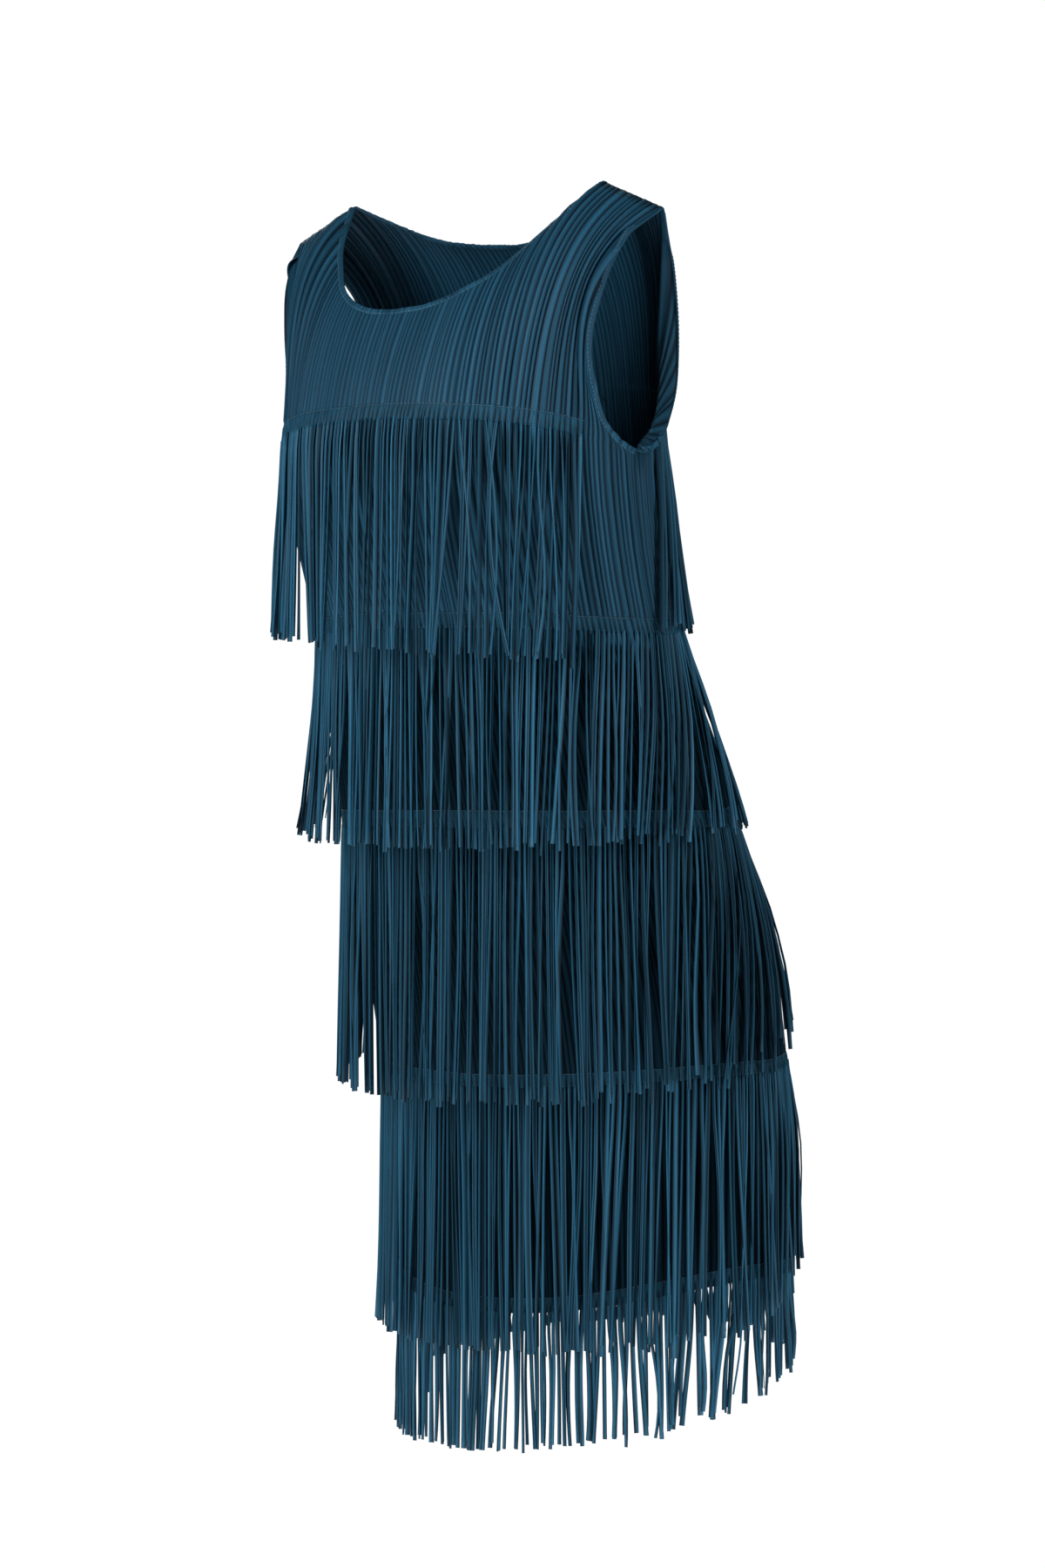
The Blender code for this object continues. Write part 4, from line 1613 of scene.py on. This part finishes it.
@dataclass(frozen=True)
class Studio:
    """A white studio: a plain floor, soft lights, and the photograph's camera."""

    lights: tuple[StripLight, ...] = (
        StripLight("key", -40, 0.40, 2.4, 0.8, 1.6, 30),
        StripLight("fill", 50, 0.1, 3.2, 0.8, 2.2, 25),
        StripLight("back", 180, 0.4, 3.0, 1.6, 2.2, 42),
    )
    lit_point: tuple[float, float, float] = (0.0, 0.05, -0.45)
    azimuth: float = 40.0
    distance: float = 3.6
    aim: tuple[float, float] = (0.0344, -0.4396)
    lens: float = 110.9
    floor_z: float = -1.32
    ambient: float = 0.08

    def build_floor(self) -> None:
        """A plain white disc under the dress, lit a little from inside as a light table is."""
        turn = np.linspace(0, 2 * math.pi, 97)[:-1]
        radius = np.array([0.0, 0.5, 1.0, 1.5])
        flat = radius[:, None, None] * np.stack([np.cos(turn), np.sin(turn)], axis=-1)
        points = np.concatenate([flat, np.full((*flat.shape[:2], 1), self.floor_z)], axis=-1)
        closed = np.concatenate([points, points[:, :1]], axis=1)
        mesh = Mesh()
        mesh.add(closed, grid_faces(closed.shape[:2]), closed[..., :2])
        material, _, _ = new_material(
            "matt_studio_floor",
            Base_Color=linear("#f4f4f4"),
            Roughness=0.9,
            Specular_IOR_Level=0.0,
            Emission_Color=(1.0, 1.0, 1.0, 1.0),
            Emission_Strength=0.55,
        )
        mesh.make("studio_floor", material)

    def add_light(self, light: StripLight) -> None:
        """Adds one strip light.

        Args:
            light: where it stands, its size and its power in watts.
        """
        a = math.radians(self.azimuth + light.azimuth)
        data = bpy.data.lights.new(light.name, "AREA")
        data.shape = "RECTANGLE"
        data.size, data.size_y = light.width, light.height
        data.energy = light.power
        obj = bpy.data.objects.new(light.name, data)
        obj.location = (math.sin(a) * light.distance, -math.cos(a) * light.distance, light.z)
        aim = np.array(self.lit_point) - np.array(obj.location)
        flat = math.hypot(aim[0], aim[1])
        obj.rotation_euler = (math.atan2(flat, -aim[2]), 0.0, math.atan2(aim[1], aim[0]) - math.pi / 2)
        bpy.context.scene.collection.objects.link(obj)

    def build_world(self) -> None:
        """A white backdrop all round, which the eye sees brighter than it lights the dress."""
        world = bpy.data.worlds.new("studio")
        world.use_nodes = True
        tree = world.node_tree
        tree.nodes["Background"].inputs["Strength"].default_value = self.ambient
        tree.nodes["Background"].inputs["Color"].default_value = (1.0, 1.0, 1.0, 1.0)
        seen = add_node(tree, "Background", Color=(1.0, 1.0, 1.0, 1.0), Strength=1.05)
        ray = add_node(tree, "LightPath")
        mix = add_node(tree, "MixShader", Fac=ray.outputs["Is Camera Ray"])
        tree.links.new(tree.nodes["Background"].outputs["Background"], mix.inputs[1])
        tree.links.new(seen.outputs["Background"], mix.inputs[2])
        tree.links.new(mix.outputs["Shader"], tree.nodes["World Output"].inputs["Surface"])
        bpy.context.scene.world = world

    def build(self) -> None:
        """Floor, lights, world and camera."""
        self.build_floor()
        for light in self.lights:
            self.add_light(light)
        self.build_world()
        a = math.radians(self.azimuth)
        data = bpy.data.cameras.new("camera")
        data.lens = self.lens
        data.sensor_width = 36.0
        camera = bpy.data.objects.new("camera", data)
        camera.location = (
            self.aim[0] * math.cos(a) + self.distance * math.sin(a),
            self.aim[0] * math.sin(a) - self.distance * math.cos(a),
            self.aim[1],
        )
        camera.rotation_euler = (math.pi / 2, 0.0, a)
        bpy.context.scene.collection.objects.link(camera)
        bpy.context.scene.camera = camera
        bpy.context.scene.view_settings.view_transform = "Standard"


@dataclass
class Dress:
    """The whole dress: two panels, their turned edges, ten half bands of fringe and the stitching."""

    form: DressForm = field(default_factory=DressForm)
    plans: tuple[TierPlan, ...] = (
        TierPlan(
            1, Facing.FRONT, 5.0, 0.79, Across(-0.319, -0.341, -0.353), Across(-4, 0, -13), 7 * MM, 1.0,
            (Stray(0.50, -8.0, 9.0), Stray(0.46, 7.0, 4.0), Stray(0.36, 5.0, 9.0)), 0.75, 0.45,
            tone=1.04, tone_spread=0.30,
        ),
        TierPlan(
            1, Facing.BACK, 5.0, 0.86, Across(-0.330, -0.320, -0.330), Across(0, 0, 22), 0.0,
            cling=0.6, twist=0.5, tone=1.04, tone_spread=0.30, unruly=1.6,
        ),
        TierPlan(
            2, Facing.FRONT, 4.0, 1.0, Across(-0.468, -0.486, -0.478), Across(-3, 0, -2), 15 * MM, 0.5,
            tone=1.06, tone_spread=0.26, shaded_tone=0.72,
        ),
        TierPlan(
            2, Facing.BACK, 4.0, 1.0, Across(-0.480, -0.466, -0.478), Across(0, 0, 3), 3 * MM,
            tone=1.06, tone_spread=0.26, shaded_tone=0.72,
        ),
        TierPlan(
            3, Facing.FRONT, 3.0, 1.0, Across(-0.648, -0.673, -0.657), Across(0, 1, 2), 3 * MM,
            tone=0.80, unruly=1.4, on_ridges=True,
        ),
        TierPlan(
            3, Facing.BACK, 3.0, 1.0, Across(-0.650, -0.598, -0.656, (0.40, 0.85)),
            Across(0, 0, 3), 3 * MM, tone=0.80, unruly=2.6, on_ridges=True,
        ),
        TierPlan(
            4, Facing.FRONT, 1.0, 1.0, Across(-0.838, -0.860, -0.840), Across(0, 0, 0), 2 * MM,
            fold_angle=44.0, tone=0.86, unruly=1.4,
        ),
        TierPlan(
            4, Facing.BACK, 1.0, 1.0, Across(-0.838, -0.790, -0.838, (0.55, 1.10)), Across(0, 0, 2), 2 * MM,
            fold_angle=44.0, tone=0.86, unruly=2.2,
        ),
        TierPlan(
            5, Facing.FRONT, 0.0, 1.0, Across(-0.920, -0.936, -0.893), Across(1, 0, -1), 0.0, 0.0,
            (Stray(0.93, -10, -22),), 0.2, 0.5, 38.0, on_ridges=True, free=True,
        ),
        TierPlan(
            5, Facing.BACK, 0.0, 1.0, Across(-0.893, -0.860, -0.890), Across(0, 0, 0), 0.0,
            cling=0.2, twist=0.5, fold_angle=38.0, on_ridges=True, free=True,
        ),
    )

    def panel(self, facing: Facing) -> PleatedPanel:
        """Plans the front or the back, with the tiers that are stitched to it.

        Args:
            facing: which of the two.

        Returns:
            The panel.
        """
        seams = tuple((plan.root_row, plan.reach, plan.tips) for plan in self.plans if plan.facing is facing)
        return PleatedPanel(FormTable(self.form, facing), PleatField(facing), seams)

    def turned_edges(self, panels: dict[Facing, PleatedPanel]) -> tuple[TurnedEdge, ...]:
        """Plans the turned edges of the neckline and the two armholes.

        Args:
            panels: the two panels.

        Returns:
            The three edges.
        """
        front, back = panels[Facing.FRONT], panels[Facing.BACK]
        neck, strap, seam = self.form.neck_end, self.form.strap_end, 0.999
        return (
            TurnedEdge(((front, -neck, neck), (back, neck, -neck))),
            TurnedEdge(((front, strap, seam), (back, seam, strap))),
            TurnedEdge(((front, -strap, -seam), (back, -seam, -strap))),
        )

    def build_tiers(
        self, panels: dict[Facing, PleatedPanel], material: Material, stitches: Mesh
    ) -> dict[Facing, list[bpy.types.Object]]:
        """Builds the ten half bands of fringe, from the top down.

        Args:
            panels: the two panels.
            material: the strips' finish.
            stitches: what the bands' stitches are added to.

        Returns:
            The half bands of the front and of the back.
        """
        outlines = Outlines(tuple(panel.table for panel in panels.values()))
        halves: dict[Facing, list[bpy.types.Object]] = {facing: [] for facing in Facing}
        above: dict[Facing, Across] = {}
        for plan in self.plans:
            tier = FringeTier(plan, panels[plan.facing], outlines, above.get(plan.facing))
            above[plan.facing] = plan.tips
            halves[plan.facing].append(tier.build(material, stitches))
            log.info("%s: %d strips", plan.node, tier.strands)
        return halves

    def build(self) -> None:
        """Builds every piece."""
        cloth = PleatedPolyester().make()
        # The strips' ramp: a painted ridge highlight and painted crease shade, as on the panels.
        strips = PleatedPolyester(
            name="cut_pleated_polyester",
            ridge="#317496",
            body="#205069",
            crease="#0a1d29",
            roughness=0.50,
        ).make()
        thread = PolyesterThread().make()
        panels = {facing: self.panel(facing) for facing in Facing}
        pieces = {facing: panel.build(cloth) for facing, panel in panels.items()}
        stitches, edges = Mesh(), Mesh()
        for edge in self.turned_edges(panels):
            edge.build(edges, stitches)
        edge_piece = edges.make("turned_edges", cloth)
        halves = self.build_tiers(panels, strips, stitches)
        stitch_piece = stitches.make("stitching", thread)
        for obj in (edge_piece, stitch_piece):
            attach(obj, "root")


def main() -> None:
    """Builds the dress and the studio."""
    logging.basicConfig(level=logging.INFO, format="%(message)s")
    Dress().build()
    Studio().build()


if __name__ == "__main__":
    main()
